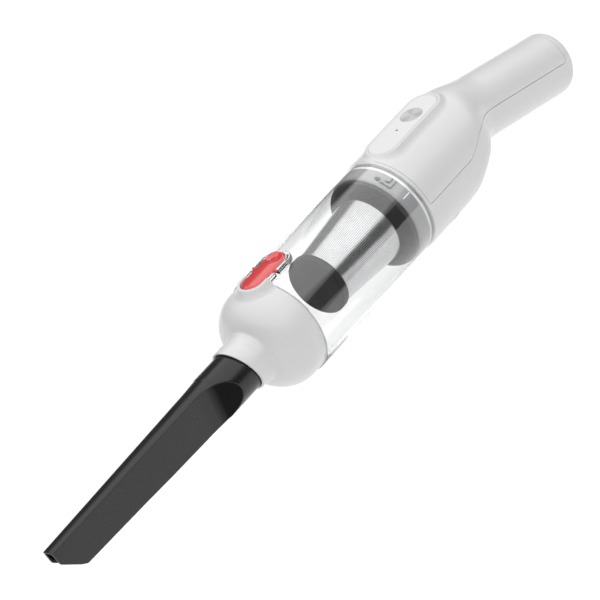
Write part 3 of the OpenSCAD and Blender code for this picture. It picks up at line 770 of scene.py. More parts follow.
def recipes(look):
    """Each slot's finish: the function that makes it and what that is given after the name."""
    return {
        "shell_white": (moulded, look.shell, 0.34, 0.3, 0.0000025, 0.975, 0.5, 0.25),
        "pad_white": (moulded, look.pad, 0.42, 0.25, 0.000003, 0.98),
        # The tool's finish paints shade into the sweeps at the ends of its flats.
        "tool_black": (sweep_painted_shade, look.tool, 0.27),
        "latch_red": (moulded, look.latch, 0.22, 0.3, 0.000002, 0.93, 0.5, 1.0),
        "plunger_red": (moulded, scaled(look.latch, 0.7), 0.4),
        "clear_cup": (clear, look.cup, 1.025, 1.0),
        "clear_block": (clear, look.cup, 1.46, 0.3),
        # The button's finish carries painted highlight in its colour.
        "button_metal": (spun, look.metal),
        "steel": (brushed, (0.62, 0.62, 0.64), 0.28),
        "nickel": (brushed, (0.66, 0.63, 0.56), 0.30),
        "mesh_steel": (perforated, (0.80, 0.80, 0.81), (0.02, 0.02, 0.02)),
        "filter_dark": (moulded, (0.012, 0.012, 0.013), 0.5, 0.5, 0.0000008, 0.8, 0.12),
        "seal_rubber": (rubber, (0.022, 0.022, 0.023)),
        "seal_pale": (rubber, (0.60, 0.60, 0.60)),
        "sleeve_grey": (moulded, look.sleeve, 0.30, 0.3, 0.000003, 0.95),
        "filter_paper": (paper, (0.82, 0.80, 0.74)),
        "foam_dark": (foam, (0.06, 0.06, 0.065)),
        "light_pipe": (moulded, (0.01, 0.012, 0.014), 0.35),
        "board_green": (board, (0.01, 0.10, 0.035)),
        "inner_black": (moulded, (0.018, 0.018, 0.02), 0.45, 0.5, 0.00001, 0.8),
        "fan_alloy": (brushed, (0.58, 0.59, 0.61), 0.36),
        "copper_wound": (windings, (0.75, 0.33, 0.15)),
        "magnet_grey": (brushed, (0.16, 0.16, 0.17), 0.42),
        "cell_blue": (moulded, (0.04, 0.20, 0.42), 0.26, 0.8, 0.000008, 0.9),
        "wire_red": (moulded, (0.42, 0.015, 0.015), 0.38),
        "wire_black": (moulded, (0.015, 0.015, 0.015), 0.4),
        # The ring's lip is the covers' white moulding darkened to grey: painted shade where it lies
        # under the cup's end.
        "lip_grey": (moulded, (0.33, 0.33, 0.33), 0.4, 0.3, 0.000003, 0.97),
        "cup_line": (moulded, (0.11, 0.11, 0.115), 0.4, 0.4, 0.000004),
        "mark_white": (moulded, (0.92, 0.92, 0.92), 0.5, 0.4, 0.000002),
    }


def finish(slot):
    """The material of one slot, made once."""
    if slot not in FINISHES:
        make, *given = recipes(bpy.context.scene.vacuum_look)[slot]
        FINISHES[slot] = make(slot, *given)
    return FINISHES[slot]


# ------------------------------------------------------------------ settings and operators


def colour(name, text, value):
    """A colour setting."""
    return FloatVectorProperty(name=name, description=text, subtype="COLOR", size=3, min=0, max=1,
                               default=value)


def length(name, text, least, most, value):
    """A length setting in metres."""
    return FloatProperty(name=name, description=text, subtype="DISTANCE", unit="LENGTH",
                         min=least, max=most, default=value)


def light(name, text, value):
    """A light strength setting."""
    return FloatProperty(name=name, description=text, min=0.0, max=10.0, default=value)


class VacuumLook(bpy.types.PropertyGroup):
    """Colours and small sizes of the vacuum."""

    shell: colour("Covers", "Colour of the nose, covers and rings", (0.725, 0.725, 0.73))
    pad: colour("Pad", "Colour of the control pad", (0.79, 0.79, 0.795))
    tool: colour("Tool", "Colour of the crevice tool", (0.010, 0.010, 0.011))
    latch: colour("Latch", "Colour of the latch lever", (0.74, 0.055, 0.06))
    cup: colour("Cup", "Tint of the clear cup", (0.985, 0.99, 0.992))
    sleeve: colour("Sleeve", "Colour of the sleeve inside the cup", (0.27, 0.272, 0.275))
    metal: colour("Button", "Colour of the power button's metal", (0.60, 0.60, 0.61))
    parting: length("Parting gap", "Width of the line between the covers", 0.0001, 0.001, 0.00042)
    edge: length("Cover edge", "Rounding of the covers' edges", 0.00005, 0.0006, 0.00022)
    dish: length("Thumb dish", "Depth of the dish in the latch lever", 0.0, 0.002, 0.0015)
    turns: IntProperty(name="Turn steps", description="Points in one turn of a round piece",
                       min=48, max=256, default=160)
    sky: light("Soft light", "Strength of the soft light overhead", 1.84)
    horizon: light("Low light", "Strength of the light near the horizon", 0.14)


class Builder:
    """Shared by the operators: a piece that can't be made raises, so that the script stops."""

    bl_options = {"REGISTER", "UNDO"}

    def execute(self, context):
        """Builds the pieces of this group."""
        self.build(context.scene.vacuum_look)
        return {"FINISHED"}


class VACUUM_OT_stage(Builder, bpy.types.Operator):
    """Pale floor, soft overhead light and the camera"""

    bl_idname = "vacuum.stage"
    bl_label = "Stage"

    def build(self, look):
        scene = bpy.context.scene
        scene.view_settings.view_transform = "Standard"
        depth = CAD_BOX[0][2] - FLOOR_DROP
        t = np.linspace(-FLOOR_HALF, FLOOR_HALF, 9)
        x, y = np.meshgrid(t, t, indexing="ij")
        grid = coords(x, y, depth)
        mesh = bpy.data.meshes.new("floor")
        mesh.from_pydata(grid.reshape(-1, 3), [], quads(9, 9)[:, ::-1].tolist())
        s = Shade("floor_pale")
        cloud = s.noise(1.3, 3.0, 0.5)
        s.tone(s.span(cloud, 0, 1), (0.955, 0.955, 0.955), (0.97, 0.97, 0.97))
        s.sheen(cloud, 0.9, 0.98)
        s.set(Specular_IOR_Level=0.1)
        mesh.materials.append(s.material)
        floor = bpy.data.objects.new("floor", mesh)
        scene.collection.objects.link(floor)
        self.light_sky(look, scene)
        self.add_camera(scene)

    def light_sky(self, look, scene):
        """World light: a soft panel over the front, above a dim band at the horizon and a dim
        back wall."""
        world = bpy.data.worlds.new("studio")
        scene.world = world
        world.use_nodes = True
        wires = Wires(world.node_tree)
        back = wires.add("Background")
        wires.add("OutputWorld", back.outputs[0])
        place = wires.add("TexCoord").outputs["Generated"]
        x, y, z = wires.add("SeparateXYZ", place).outputs
        front = wires.step(y, 0.48, 0.66, 1.0, 0.0)
        high = wires.step(z, 0.60, 0.74)
        left = wires.step(x, -0.25, -0.05, 1.0, 0.0)
        wide = wires.math("MAXIMUM", wires.math("MAXIMUM", front, high), left)
        panel = wires.math("MULTIPLY", wires.step(z, 0.40, 0.52), wide)
        strength = wires.step(panel, 0.0, 1.0, look.horizon, look.sky)
        wires.links.new(strength, back.inputs["Strength"])

    def add_camera(self, scene):
        """A long lens from the nozzle's end, in front and above."""
        data = bpy.data.cameras.new("camera")
        data.lens, data.sensor_width = LENS, 36.0
        data.clip_start, data.clip_end = 0.05, 60.0
        cam = bpy.data.objects.new("camera", data)
        right, up = Vector(CAMERA_RIGHT), Vector(CAMERA_UP)
        back = right.cross(up).normalized()
        up = back.cross(right).normalized()
        turn = Matrix((right.normalized(), up, back)).transposed().to_4x4()
        place = Vector((CAMERA_AT[0] + JOINT_X * MM, CAMERA_AT[1], CAMERA_AT[2]))
        cam.matrix_world = Matrix.Translation(place) @ turn
        scene.collection.objects.link(cam)
        scene.camera = cam


class VACUUM_OT_nose(Builder, bpy.types.Operator):
    """Domed nose with its collar, duct, latch rim and hinge knuckle"""

    bl_idname = "vacuum.nose"
    bl_label = "Nose"

    def build(self, look):
        a = np.pi / 2 * (1 - np.linspace(0, 1, 40))
        dome = coords(DOME_X - DOME_R * np.sin(a), DOME_OFF + DOME_R * np.cos(a))
        dome = dome[dome[:, 1] > 19.9]
        dome[:, 1] += (NOSE_R - DOME_OFF - DOME_R) * np.clip((dome[:, 1] - 30) / 5, 0, 1)
        f = np.linspace(0, 1, 9)[:, None]
        start, corner = np.array([[-30.6, 18.15]]), np.array([[-29.5, 18.25]])
        fillet = (1 - f) ** 2 * start + 2 * f * (1 - f) * corner + f**2 * dome[:1]
        outer = np.concatenate([
            [[MOUTH_X, 16.2], [MOUTH_X, 17.2], [MOUTH_X + 0.3, 17.48], [COLLAR_X1, 17.6],
             [COLLAR_X2 - 1.0, NECK_R], [COLLAR_X2 - 0.5, 17.9]],
            fillet[:-1], dome,
            [[-4.0, NOSE_R], [-0.45, NOSE_R], [-0.12, NOSE_R - 0.1], [0.0, NOSE_R - 0.35]],
            [[0.0, NOSE_R - 0.6], [-1.2, NOSE_R - 0.7], [-1.2, NOSE_R - 2.8], [-2.2, NOSE_R - 3.0]],
        ])
        a = np.pi / 2 * np.linspace(0, 1, 24)
        radius = DOME_R - WALL
        inner = coords(DOME_X - radius * np.sin(a), DOME_OFF + radius * np.cos(a))
        inner = inner[inner[:, 1] > TOOL_R + 2.4]
        duct = [[-26.0, TOOL_R + 2.1], [7.4, TOOL_R + 2.0], [7.85, TOOL_R + 1.7], [8.0, TOOL_R + 1.3],
                [8.0, DUCT_R + 0.3], [7.7, DUCT_R], [TOOL_ROOT - 0.4, DUCT_R],
                [TOOL_ROOT - 0.4, TOOL_R + 0.06], [-41.0, TOOL_R + 0.06]]
        outline = np.concatenate([outer, inner, duct])
        pts = around(outline, turn(look.turns))
        lip = np.clip((COLLAR_X1 - 0.1 - outline[:, 0]) / (COLLAR_X1 - 0.1 - MOUTH_X), 0, 1)
        pts[..., 0] -= MOUTH_TILT * pts[..., 2] * lip[:, None]
        parts = [surface(pts, wrap_rows=True, wrap_cols=True)]
        plan, normal = half_path(0.0, LATCH_X1 - 2.5, LATCH_HALF + 2.5)
        parts.append(apron(plan, normal, nose_height, RIM_TOP, 4.2, 1.9, 34.0))
        for side in (-1, 1):
            cheek = [[1.8, 15.0], [11.8, 15.0], [12.0, 18.0], [11.2, 19.0], [8.6, 19.2], [1.8, 17.6]]
            parts.append(prism(cheek, side * 8.2 - 1.2, side * 8.2 + 1.2, 0.25))
        parts.append(prism(self.knuckle(-1), -HINGE_IN + 0.4, HINGE_IN - 0.4, 0.2))
        parts.append(arc_block(-11.0, -9.7, 34.5, 36.4, -8.0, 8.0))
        put("nose", parts, "nose", "shell_white", ("nose_cap",))
        bead = soften([[0.02, NOSE_R - 2.0], [0.02, BODY_R - 0.55], [GAP - 0.03, BODY_R - 0.25],
                       [GAP - 0.03, NOSE_R - 2.0]], 0.06, 2)
        put("joint_bead", [lathe(bead, look.turns)], "nose", "seal_pale")

    @staticmethod
    def knuckle(sign):
        """Side outline of a hinge arm: three quarters of a round eye with a web up to the wall."""
        t = np.radians(np.linspace(-170, 80, 26))
        eye = coords(HINGE_X - sign * HINGE_R * np.cos(t), HINGE_Z + HINGE_R * np.sin(t))
        wall = -NOSE_R + 0.4 if sign < 0 else -BODY_R - 0.03
        far = HINGE_X + sign * 7.5
        web = [[HINGE_X + sign * 1.8, wall], [far, wall], [far, wall - 0.6]]
        return np.concatenate([eye[::-1], web])


class VACUUM_OT_tool(Builder, bpy.types.Operator):
    """Crevice tool: round at the root, flat sided along its length, cut slantwise at the tip"""

    bl_idname = "vacuum.tool"
    bl_label = "Crevice Tool"

    def build(self, look):
        rows = np.concatenate([np.linspace(0, 0.62, 40, endpoint=False),
                               np.linspace(0.62, 0.80, 90, endpoint=False), np.linspace(0.80, 1.0, 24)])
        outer, inner = self.form(rows, 0.0), self.form(rows, 1.5)
        lip_out, lip_in = self.form(rows[:1], 0.35), self.form(rows[:1], 1.15)
        lip_out[..., 0] -= 0.32
        lip_in[..., 0] -= 0.32
        loop = np.concatenate([outer[::-1], lip_out, lip_in, inner])
        put("crevice_tool_skin", [surface(loop, wrap_rows=True, wrap_cols=True)], "tool",
            "tool_black", ("crevice_tool",), crease=20)

    @staticmethod
    def tip_station(z):
        """Station of the slanted tip at height z, along four straight runs with eased corners."""
        heights = np.array([-13.5, -9.0, 2.0, 12.5])
        stations = TOOL_TIP + np.array([22.0, 15.0, 2.4, 0.5])
        zs = z[..., None] + np.linspace(-0.7, 0.7, 5)
        return np.interp(zs, heights, stations).mean(-1)

    @staticmethod
    def flat_half(x):
        """Half the width between the flats: a slow taper, then a hollow arc out to the round."""
        line = np.interp(x, [TOOL_TIP - 4, FLAT_END], [4.15, 6.2])
        arc = FLAT_HALF + SWEEP_R - np.sqrt(SWEEP_R**2 - np.clip(x - FLAT_END, 0, SWEEP_R) ** 2)
        return np.where(x < FLAT_END, np.minimum(line, FLAT_HALF), arc)

    @staticmethod
    def columns(corner):
        """Angles round each section, packed close about its four edges, which lie at the given
        angles either side of the top and the bottom."""
        near = np.radians(2.2)
        spread = np.linspace(-1, 1, 9)[None] * near
        run = np.linspace(0, 1, 20)[None]
        quarter = np.concatenate([mix(0.0, corner - near, run[:, :-1]), corner + spread,
                                  mix(corner + near, np.pi / 2, run[:, 1:])], 1)
        half = np.concatenate([quarter[:, :-1], np.pi - quarter[:, :0:-1]], 1)
        return np.concatenate([half, np.pi + half], 1)

    def form(self, share, t):
        """Section at each share of the length from tip to root: a circle of tapering radius,
        its sides held between the flats, all shrunk by t."""
        x = mix(TOOL_TIP, TOOL_ROOT, share)[:, None]
        r = np.interp(x, [TOOL_TIP - 4, -72, -70], [12.2, TOOL_R - 0.3, TOOL_R]) - t
        half = self.flat_half(x) - t
        a = self.columns(np.arcsin(np.clip(half / r, 0, 0.994)))
        y = smin(r * np.abs(np.sin(a)), half, 0.35) * np.sign(np.sin(a))
        z = r * np.cos(a)
        station = mix(self.tip_station(z), TOOL_ROOT, share[:, None])
        keep = np.clip((x - TOOL_TIP - 60) / 40, 0, 1)
        return coords(mix(station, x, keep), -y, z)


class VACUUM_OT_latch(Builder, bpy.types.Operator):
    """Red rocking latch lever with a chamfered edge and a thumb dish"""

    bl_idname = "vacuum.latch"
    bl_label = "Latch"

    def build(self, look):
        spine, normal = slot_path(LATCH_X1, LATCH_X2, LATCH_HALF, 44, 36)
        depth = look.dish / MM
        share = np.concatenate([np.linspace(0, 0.80, 34), [0.825, 0.84, 0.852]])
        fall = np.zeros_like(share)
        fall[-3:] = [0.01, 0.06, 0.16]
        out = np.array([0.90, 0.945, 0.97, 0.988, 0.997, 1.0, 1.0, 0.985, 0.96, 0.0])
        out_fall = np.array([0.52, 0.86, 1.02, 1.16, 1.34, 1.6, 2.0, 2.3, 2.4, 2.4])
        share, fall = np.concatenate([share, out]), np.concatenate([fall, out_fall])
        xy = spine[None] + normal[None] * (share * LATCH_HALF)[:, None, None]
        crown = 1.4 * (xy[..., 1] / LATCH_HALF) ** 2
        z = LATCH_TOP - fall[:, None] - crown * (1 - fall[:, None] / fall[-1])
        top = np.arange(len(share)) < 37
        centre = LATCH_X2 - LATCH_HALF + 0.4
        d = np.hypot((xy[..., 0] - centre) / 6.3, xy[..., 1] / 5.9)
        z -= np.where(top[:, None], depth * (1 - ease(np.clip((d - 0.35) / 0.68, 0, 1))), 0)
        body = surface(np.concatenate([xy, z[..., None]], -1), wrap_cols=True)
        parts = [body]
        for side in (-1, 1):
            y = side * (LATCH_HALF + 0.9)
            parts.append(prism([[7.1, 37.4], [8.7, 37.4], [8.6, 36.4], [7.9, 35.9], [7.2, 36.4]],
                               y - 1.0, y + 1.0, 0.2))
        parts.append(prism([[LATCH_X1 + 0.4, 37.3], [LATCH_X1 + 1.5, 37.3], [LATCH_X1 + 1.5, 36.15],
                            [LATCH_X1 + 0.9, 36.15]], -4.0, 4.0, 0.15))
        put("latch", parts, "latch", "latch_red", ("latch_lever",), crease=24)


class VACUUM_OT_cup(Builder, bpy.types.Operator):
    """Clear dust cup with the latch's seat, hinge ears, twist-lock lines and marks"""

    bl_idname = "vacuum.cup"
    bl_label = "Dust Cup"

    def build(self, look):
        tube = soften([[GAP, CUP_IN], [GAP, BODY_R], [CUP_END, BODY_R], [CUP_END, CUP_IN]], 0.15, 3)
        cup = put("cup", [lathe(tube, look.turns)], "cup", "clear_cup", ("dust_cup",))
        seat = self.seat()
        ears = [prism(VACUUM_OT_nose.knuckle(1), y, y + HINGE_OUT - HINGE_IN, 0.2)
                for y in (-HINGE_OUT, HINGE_IN)]
        fittings = put("cup_fittings", seat + ears, "cup", "clear_cup", dress="clear_block")
        for piece in (cup, fittings):
            piece.visible_shadow = False
        self.lines()

    def seat(self):
        """Two clear blocks that carry the lever: a short pair in front of the pin, and a
        horseshoe behind it."""

        def ground(x, y):
            return np.sqrt(np.clip(BODY_R**2 - y**2, 1, None))

        half = LATCH_HALF + 2.6
        plan, normal = half_path(9.3, LATCH_X2 + 2.4, half)
        rear = apron(plan, normal, ground, SEAT_TOP, 1.3, 1.9, None)
        parts = [rear]
        for side in (-1, 1):
            x = np.linspace(0.5, 6.5, 12)
            plan, normal = coords(x, side * half), coords(0 * x, float(side))
            parts.append(apron(plan, normal, ground, SEAT_TOP, 1.3, 1.9, None))
        return parts

    def lines(self):
        """Outline of the lock slot, a padlock mark and the alignment line, on the cup's wall."""
        r1, r2 = CUP_IN + 0.25, CUP_IN + 0.5
        long_arm, short_arm = np.linspace(27.0, 40.5, 14), np.linspace(30.7, 35.6, 8)
        t = np.linspace(0, np.pi, 14)
        shackle = coords(LOCK_X + 0.95 * np.cos(t), LOCK_TURN - 1.9 * np.sin(t))
        lock_body = coords(LOCK_X, np.linspace(LOCK_TURN, LOCK_TURN + 3.4, 6))
        marks = ((coords(SLOT_X1, long_arm), 0.32), (coords(SLOT_X2, short_arm), 0.3),
                 (coords(np.linspace(SLOT_X1, SLOT_END, 8), 40.4), 0.3),
                 (coords(np.linspace(SLOT_X2, SLOT_END, 6), 35.6), 0.3),
                 (shackle, 0.2), (lock_body, 1.25))
        put("lock_lines", [strip(path, half, r1, r2) for path, half in marks], "cup", "sleeve_grey",
            dress="cup_line")
        path = coords(np.linspace(110.5, SLOT_END, 8), 58.0)
        line = strip(path, 0.34, SLEEVE_R + 0.02, SLEEVE_R + 0.14)
        put("alignment_line", [line], "body", "pad_white", dress="mark_white")


class VACUUM_OT_filter(Builder, bpy.types.Operator):
    """Filter: glossy end disc, perforated steel cone, flange and seal"""

    bl_idname = "vacuum.filter"
    bl_label = "Filter"

    def build(self, look):
        x, end = DISC_X, DISC_END
        disc = [[x + 0.12, 0.0], [x + 0.10, 8.0], [x + 0.05, 14.0], [x, 19.6], [x + 0.03, 20.4],
                [x + 0.16, 20.85], [x + 0.4, 21.1], [x + 0.8, DISC_R], [end - 0.5, DISC_R],
                [end - 0.12, DISC_R - 0.12], [end, DISC_R - 0.4], [end, 0.0]]
        put("filter_disc", [lathe(disc, look.turns, closed=False)], "body", "filter_dark",
            ("filter_end_cap",), crease=50)
        t = np.linspace(0, 1, 60)
        outer = coords(mix(MESH_X1, MESH_X2, t), mix(MESH_R1, MESH_R2, t))
        wall = np.concatenate([outer, outer[::-1] - [0, 0.5]])
        put("filter_screen", [lathe(wall, look.turns)], "body", "mesh_steel", ("filter_mesh",))
        flange = soften([[MESH_X2 + 0.2, 12.6], [MESH_X2 + 0.2, MESH_R2 + 0.1], [FLANGE_X2, FLANGE_R],
                         [FLANGE_X2 + 0.5, FLANGE_R], [FLANGE_X2 + 0.5, 28.0], [114.0, 28.0],
                         [114.0, 26.5], [FLANGE_X2 - 1, 26.5], [MESH_X2 + 2, 22.0],
                         [MESH_X2 + 2, 12.6]], 0.3, 3)
        put("filter_collar", [lathe(flange, look.turns)], "body", "filter_dark", ("filter_flange",))
        lips = [[FLANGE_X2 + 0.7, 28.1], [FLANGE_X2 + 0.7, 32.2], [FLANGE_X2 + 1.1, SLEEVE_R - 1.0],
                [FLANGE_X2 + 1.7, 32.5], [FLANGE_X2 + 2.3, SLEEVE_R - 1.0], [FLANGE_X2 + 2.9, 32.5],
                [SLEEVE_X - 0.2, SLEEVE_R - 1.0], [SLEEVE_X - 0.2, 28.1]]
        put("filter_gasket", [lathe(soften(lips, 0.25, 3), look.turns)], "body", "seal_rubber",
            ("filter_seal",))


class VACUUM_OT_sleeve(Builder, bpy.types.Operator):
    """Grey sleeve that carries the cup, with its lugs"""

    bl_idname = "vacuum.sleeve"
    bl_label = "Sleeve"

    def build(self, look):
        outline = soften([[SLEEVE_X, 28.3], [SLEEVE_X, SLEEVE_R - 0.5], [SLEEVE_X + 0.5, SLEEVE_R],
                          [107.7, SLEEVE_R], [107.9, SLEEVE_R - 0.3], [108.2, SLEEVE_R - 0.3],
                          [108.4, SLEEVE_R], [LIP_X - 0.6, SLEEVE_R], [LIP_X - 0.6, SLEEVE_R - 1.05],
                          [SLEEVE_END, SLEEVE_R - 1.05], [SLEEVE_END, SLEEVE_R - 2],
                          [SLEEVE_X + 1.6, SLEEVE_R - 2],
                          [SLEEVE_X + 1.6, 28.3]], 0.12, 2)
        parts = [lathe(outline, look.turns)]
        for i in range(3):
            at = 28.9 + 120 * i
            parts.append(arc_block(110.1, 112.7, SLEEVE_R - 0.4, CUP_IN + 0.2, at - 1.5, at + 1.5))
        put("sleeve", parts, "body", "sleeve_grey", ("bayonet_sleeve",))
        lip = soften([[LIP_X, SLEEVE_R - 1.0], [LIP_X, SLEEVE_R], [RING_X2, SLEEVE_R],
                      [RING_X2, SLEEVE_R - 1.0]], 0.15, 3)
        # The lip belongs to the white covers but is painted grey: painted shade under the cup's end.
        put("ring_lip", [lathe(lip, look.turns)], "body", "shell_white", dress="lip_grey")


class VACUUM_OT_covers(Builder, bpy.types.Operator):
    """Top and bottom covers of the body and grip, with the parting line, slots and end cap"""

    bl_idname = "vacuum.covers"
    bl_label = "Covers"

    def build(self, look):
        end = BEND_X + END_SEAM * math.cos(GRIP_DROP)
        gap = look.parting / MM / 2
        u = self.stations(end, True)
        first, last = LID_X + 2 * gap, end - 2 * gap
        u = np.concatenate([[first], u[(u > first + 0.03) & (u < last - 0.03)], [last]])
        obj = put("top_shell", [self.sheet(u, False, gap, 150)], "body", "shell_white",
                  ("top_cover",), recalc=False)
        self.thicken(obj, look)
        u = self.stations(end, False)
        front = RING_X1 + np.array([0.0, 0.5, 1.1, 2.0])
        parts = [self.sheet(np.concatenate([front, u]), True, gap, 170)]
        parts.append(self.band(np.concatenate([front, u[:1]]), gap))
        back = end + np.array([0.0, 0.5, 1.5, 3.4]) * math.cos(GRIP_DROP)
        parts += [self.sheet(back, True, gap, 170), self.band(back, gap)]
        parts += self.end_cap(back[-1], gap)
        obj = put("bottom_shell", parts, "body", "shell_white",
                  ("lower_housing", "collar_ring"), recalc=False)
        self.thicken(obj, look)
        lips = [self.lip(u, side) for side in (-1, 1)]
        lips += [self.cross_lip(u[0] - 0.9, u[0] + 1.5, gap),
                 self.cross_lip(u[-1] - 1.5, u[-1] + 0.9, gap)]
        put("parting_tongue", lips, "body", "shell_white")
        self.eyelets()

    @staticmethod
    def stations(end, top):
        """Stations of the rings, close together through the bend and at the rounded corners;
        the bottom's include the edges of the six exhaust slots."""
        vents = VENT_X + VENT_PITCH * np.arange(VENT_COUNT)
        slots = np.concatenate([vents, vents + VENT_WIDTH])
        corner = CORNER * (1 - np.cos(np.linspace(0, np.pi / 2, 12)))
        runs = [LID_X + corner, np.linspace(129, 136, 6), np.linspace(138, 159, 16) if top else slots,
                np.linspace(161, 166, 4), np.linspace(167.5, 250, 96), np.linspace(253, end - 5, 18),
                end - corner[::-1]]
        return np.unique(np.concatenate(runs))

    @staticmethod
    def edge_angle(u, gap):
        """Angle of the bottom cover's edge, half a gap past the parting line."""
        return seam_angle(u) + gap / side_y(u)

    def band(self, u, gap):
        """The bottom cover's bridge over the top, ahead of or behind the top cover."""
        edge = self.edge_angle(u, gap)
        a = mix(-edge[:, None], edge[:, None], np.linspace(0, 1, 120)[None])
        return surface(skin(u[:, None] + 0 * a, a))

    def sheet(self, u, bottom, gap, cols):
        """One cover's skin between its parting edges. Faces over the exhaust slots and the
        screw holes are left out."""
        share = np.linspace(0, 1, cols)[None]
        if bottom:
            edge = self.edge_angle(u, gap)[:, None]
            a = mix(edge, 2 * np.pi - edge, share)
        else:
            edge = (seam_angle(u) - gap / side_y(u))[:, None]
            a = mix(-edge, edge, share)
        points, faces = surface(skin(u[:, None] + 0 * a, a))
        if not bottom:
            return points, faces
        mid = points[faces].mean(1)
        behind = mid[:, 0] - VENT_X
        under = (np.abs(mid[:, 1]) < VENT_HALF) & (mid[:, 2] < 0)
        cut = under & (behind > 0) & (behind < VENT_COUNT * VENT_PITCH)
        cut &= behind % VENT_PITCH < VENT_WIDTH
        for sx, sy in SCREWS:
            cut |= (np.hypot(mid[:, 0] - sx, mid[:, 1] - sy) < SCREW_HOLE_R) & (mid[:, 2] < 0)
        return points, faces[~cut]

    @staticmethod
    def thicken(obj, look):
        """Gives a cover its wall and softened edges."""
        solid = obj.modifiers.new("wall", "SOLIDIFY")
        solid.thickness = WALL * MM
        solid.offset = -1.0
        solid.use_quality_normals = True
        bevel = obj.modifiers.new("edge", "BEVEL")
        bevel.width = look.edge
        bevel.segments = 3
        bevel.limit_method = "ANGLE"
        bevel.angle_limit = math.radians(55)
        bevel.harden_normals = False

    @staticmethod
    def lip(u, side):
        """Tongue behind the parting line, so that the gap has a floor."""
        a = seam_angle(u)
        arc = TONGUE_HALF / side_y(u)
        edge = np.stack([a - arc, a + arc, a + arc, a - arc], 1) * side
        t = np.array([TONGUE_TOP, TONGUE_TOP, TONGUE_BACK, TONGUE_BACK])[None]
        return capped(skin(u[:, None] + 0 * edge, edge, t + 0 * edge))

    def cross_lip(self, u1, u2, gap):
        """Tongue behind the ends of the top cover."""
        u = np.array([u1, u2])
        edge = self.edge_angle(np.clip(u, LID_X, None), gap)[:, None]
        a = np.repeat(np.linspace(-edge.max(), edge.max(), 90)[None], 2, 0)
        outer, inner = (skin(u[:, None] + 0 * a, a, t) for t in (TONGUE_TOP, TONGUE_BACK))
        return capped(np.swapaxes(np.concatenate([outer, inner[::-1]]), 0, 1))

    def end_cap(self, start, gap):
        """Round end of the grip: quarter-round edge, flat face and the charging slot's mouth."""
        edge = float(self.edge_angle(np.array([start]), gap)[0])
        low_side = mix(edge, 2 * np.pi - edge, np.linspace(0, 1, 170))
        a = np.concatenate([low_side, mix(-edge, edge, np.linspace(0, 1, 120))[1:-1]])
        r = END_ROUND
        q = np.linspace(0, np.pi / 2, 14)
        first = (start - BEND_X) / math.cos(GRIP_DROP)
        rim = coords(GRIP_LEN - r * (1 - np.sin(q)), GRIP_R - r * (1 - np.cos(q)))
        rows = around(np.concatenate([[[first, GRIP_R]], rim]), a)
        power = 5.0
        across, along = np.abs(np.sin(a) / PORT_HALF_W), np.abs(np.cos(a) / PORT_HALF_H)
        hole = (across**power + along**power) ** (-1 / power)
        share = np.linspace(0, 1, 14)[1:, None] ** 0.8
        radius = mix(GRIP_R - r, hole[None], share)
        face = coords(GRIP_LEN, -radius * np.sin(a), radius * np.cos(a))
        return [surface(in_grip(np.concatenate([rows, face])), wrap_cols=True)]

    def eyelets(self):
        """Collars round the three screws under the body."""
        parts = []
        t = turn(40)
        for sx, sy in SCREWS:
            ground = 2 * mid_z(sx) - skin_height(sx, sy) if sx < 200 else low_z(sx)
            ring = np.array([[2.75, 3.6], [2.75, -0.05], [2.9, -0.16], [3.9, -0.12], [4.1, 0.3],
                             [4.1, 3.6]])
            x = sx + ring[:, :1] * np.cos(t)
            y = sy + ring[:, :1] * np.sin(t)
            local = low_z(x) if sx > 200 else -np.sqrt(np.clip(BODY_R**2 - y**2, 1, None))
            z = np.where(ring[:, 1:] > 1, ground + ring[:, 1:], local + ring[:, 1:])
            parts.append(surface(coords(x, y, z), wrap_rows=True, wrap_cols=True))
        put("screw_collars", parts, "body", "shell_white")


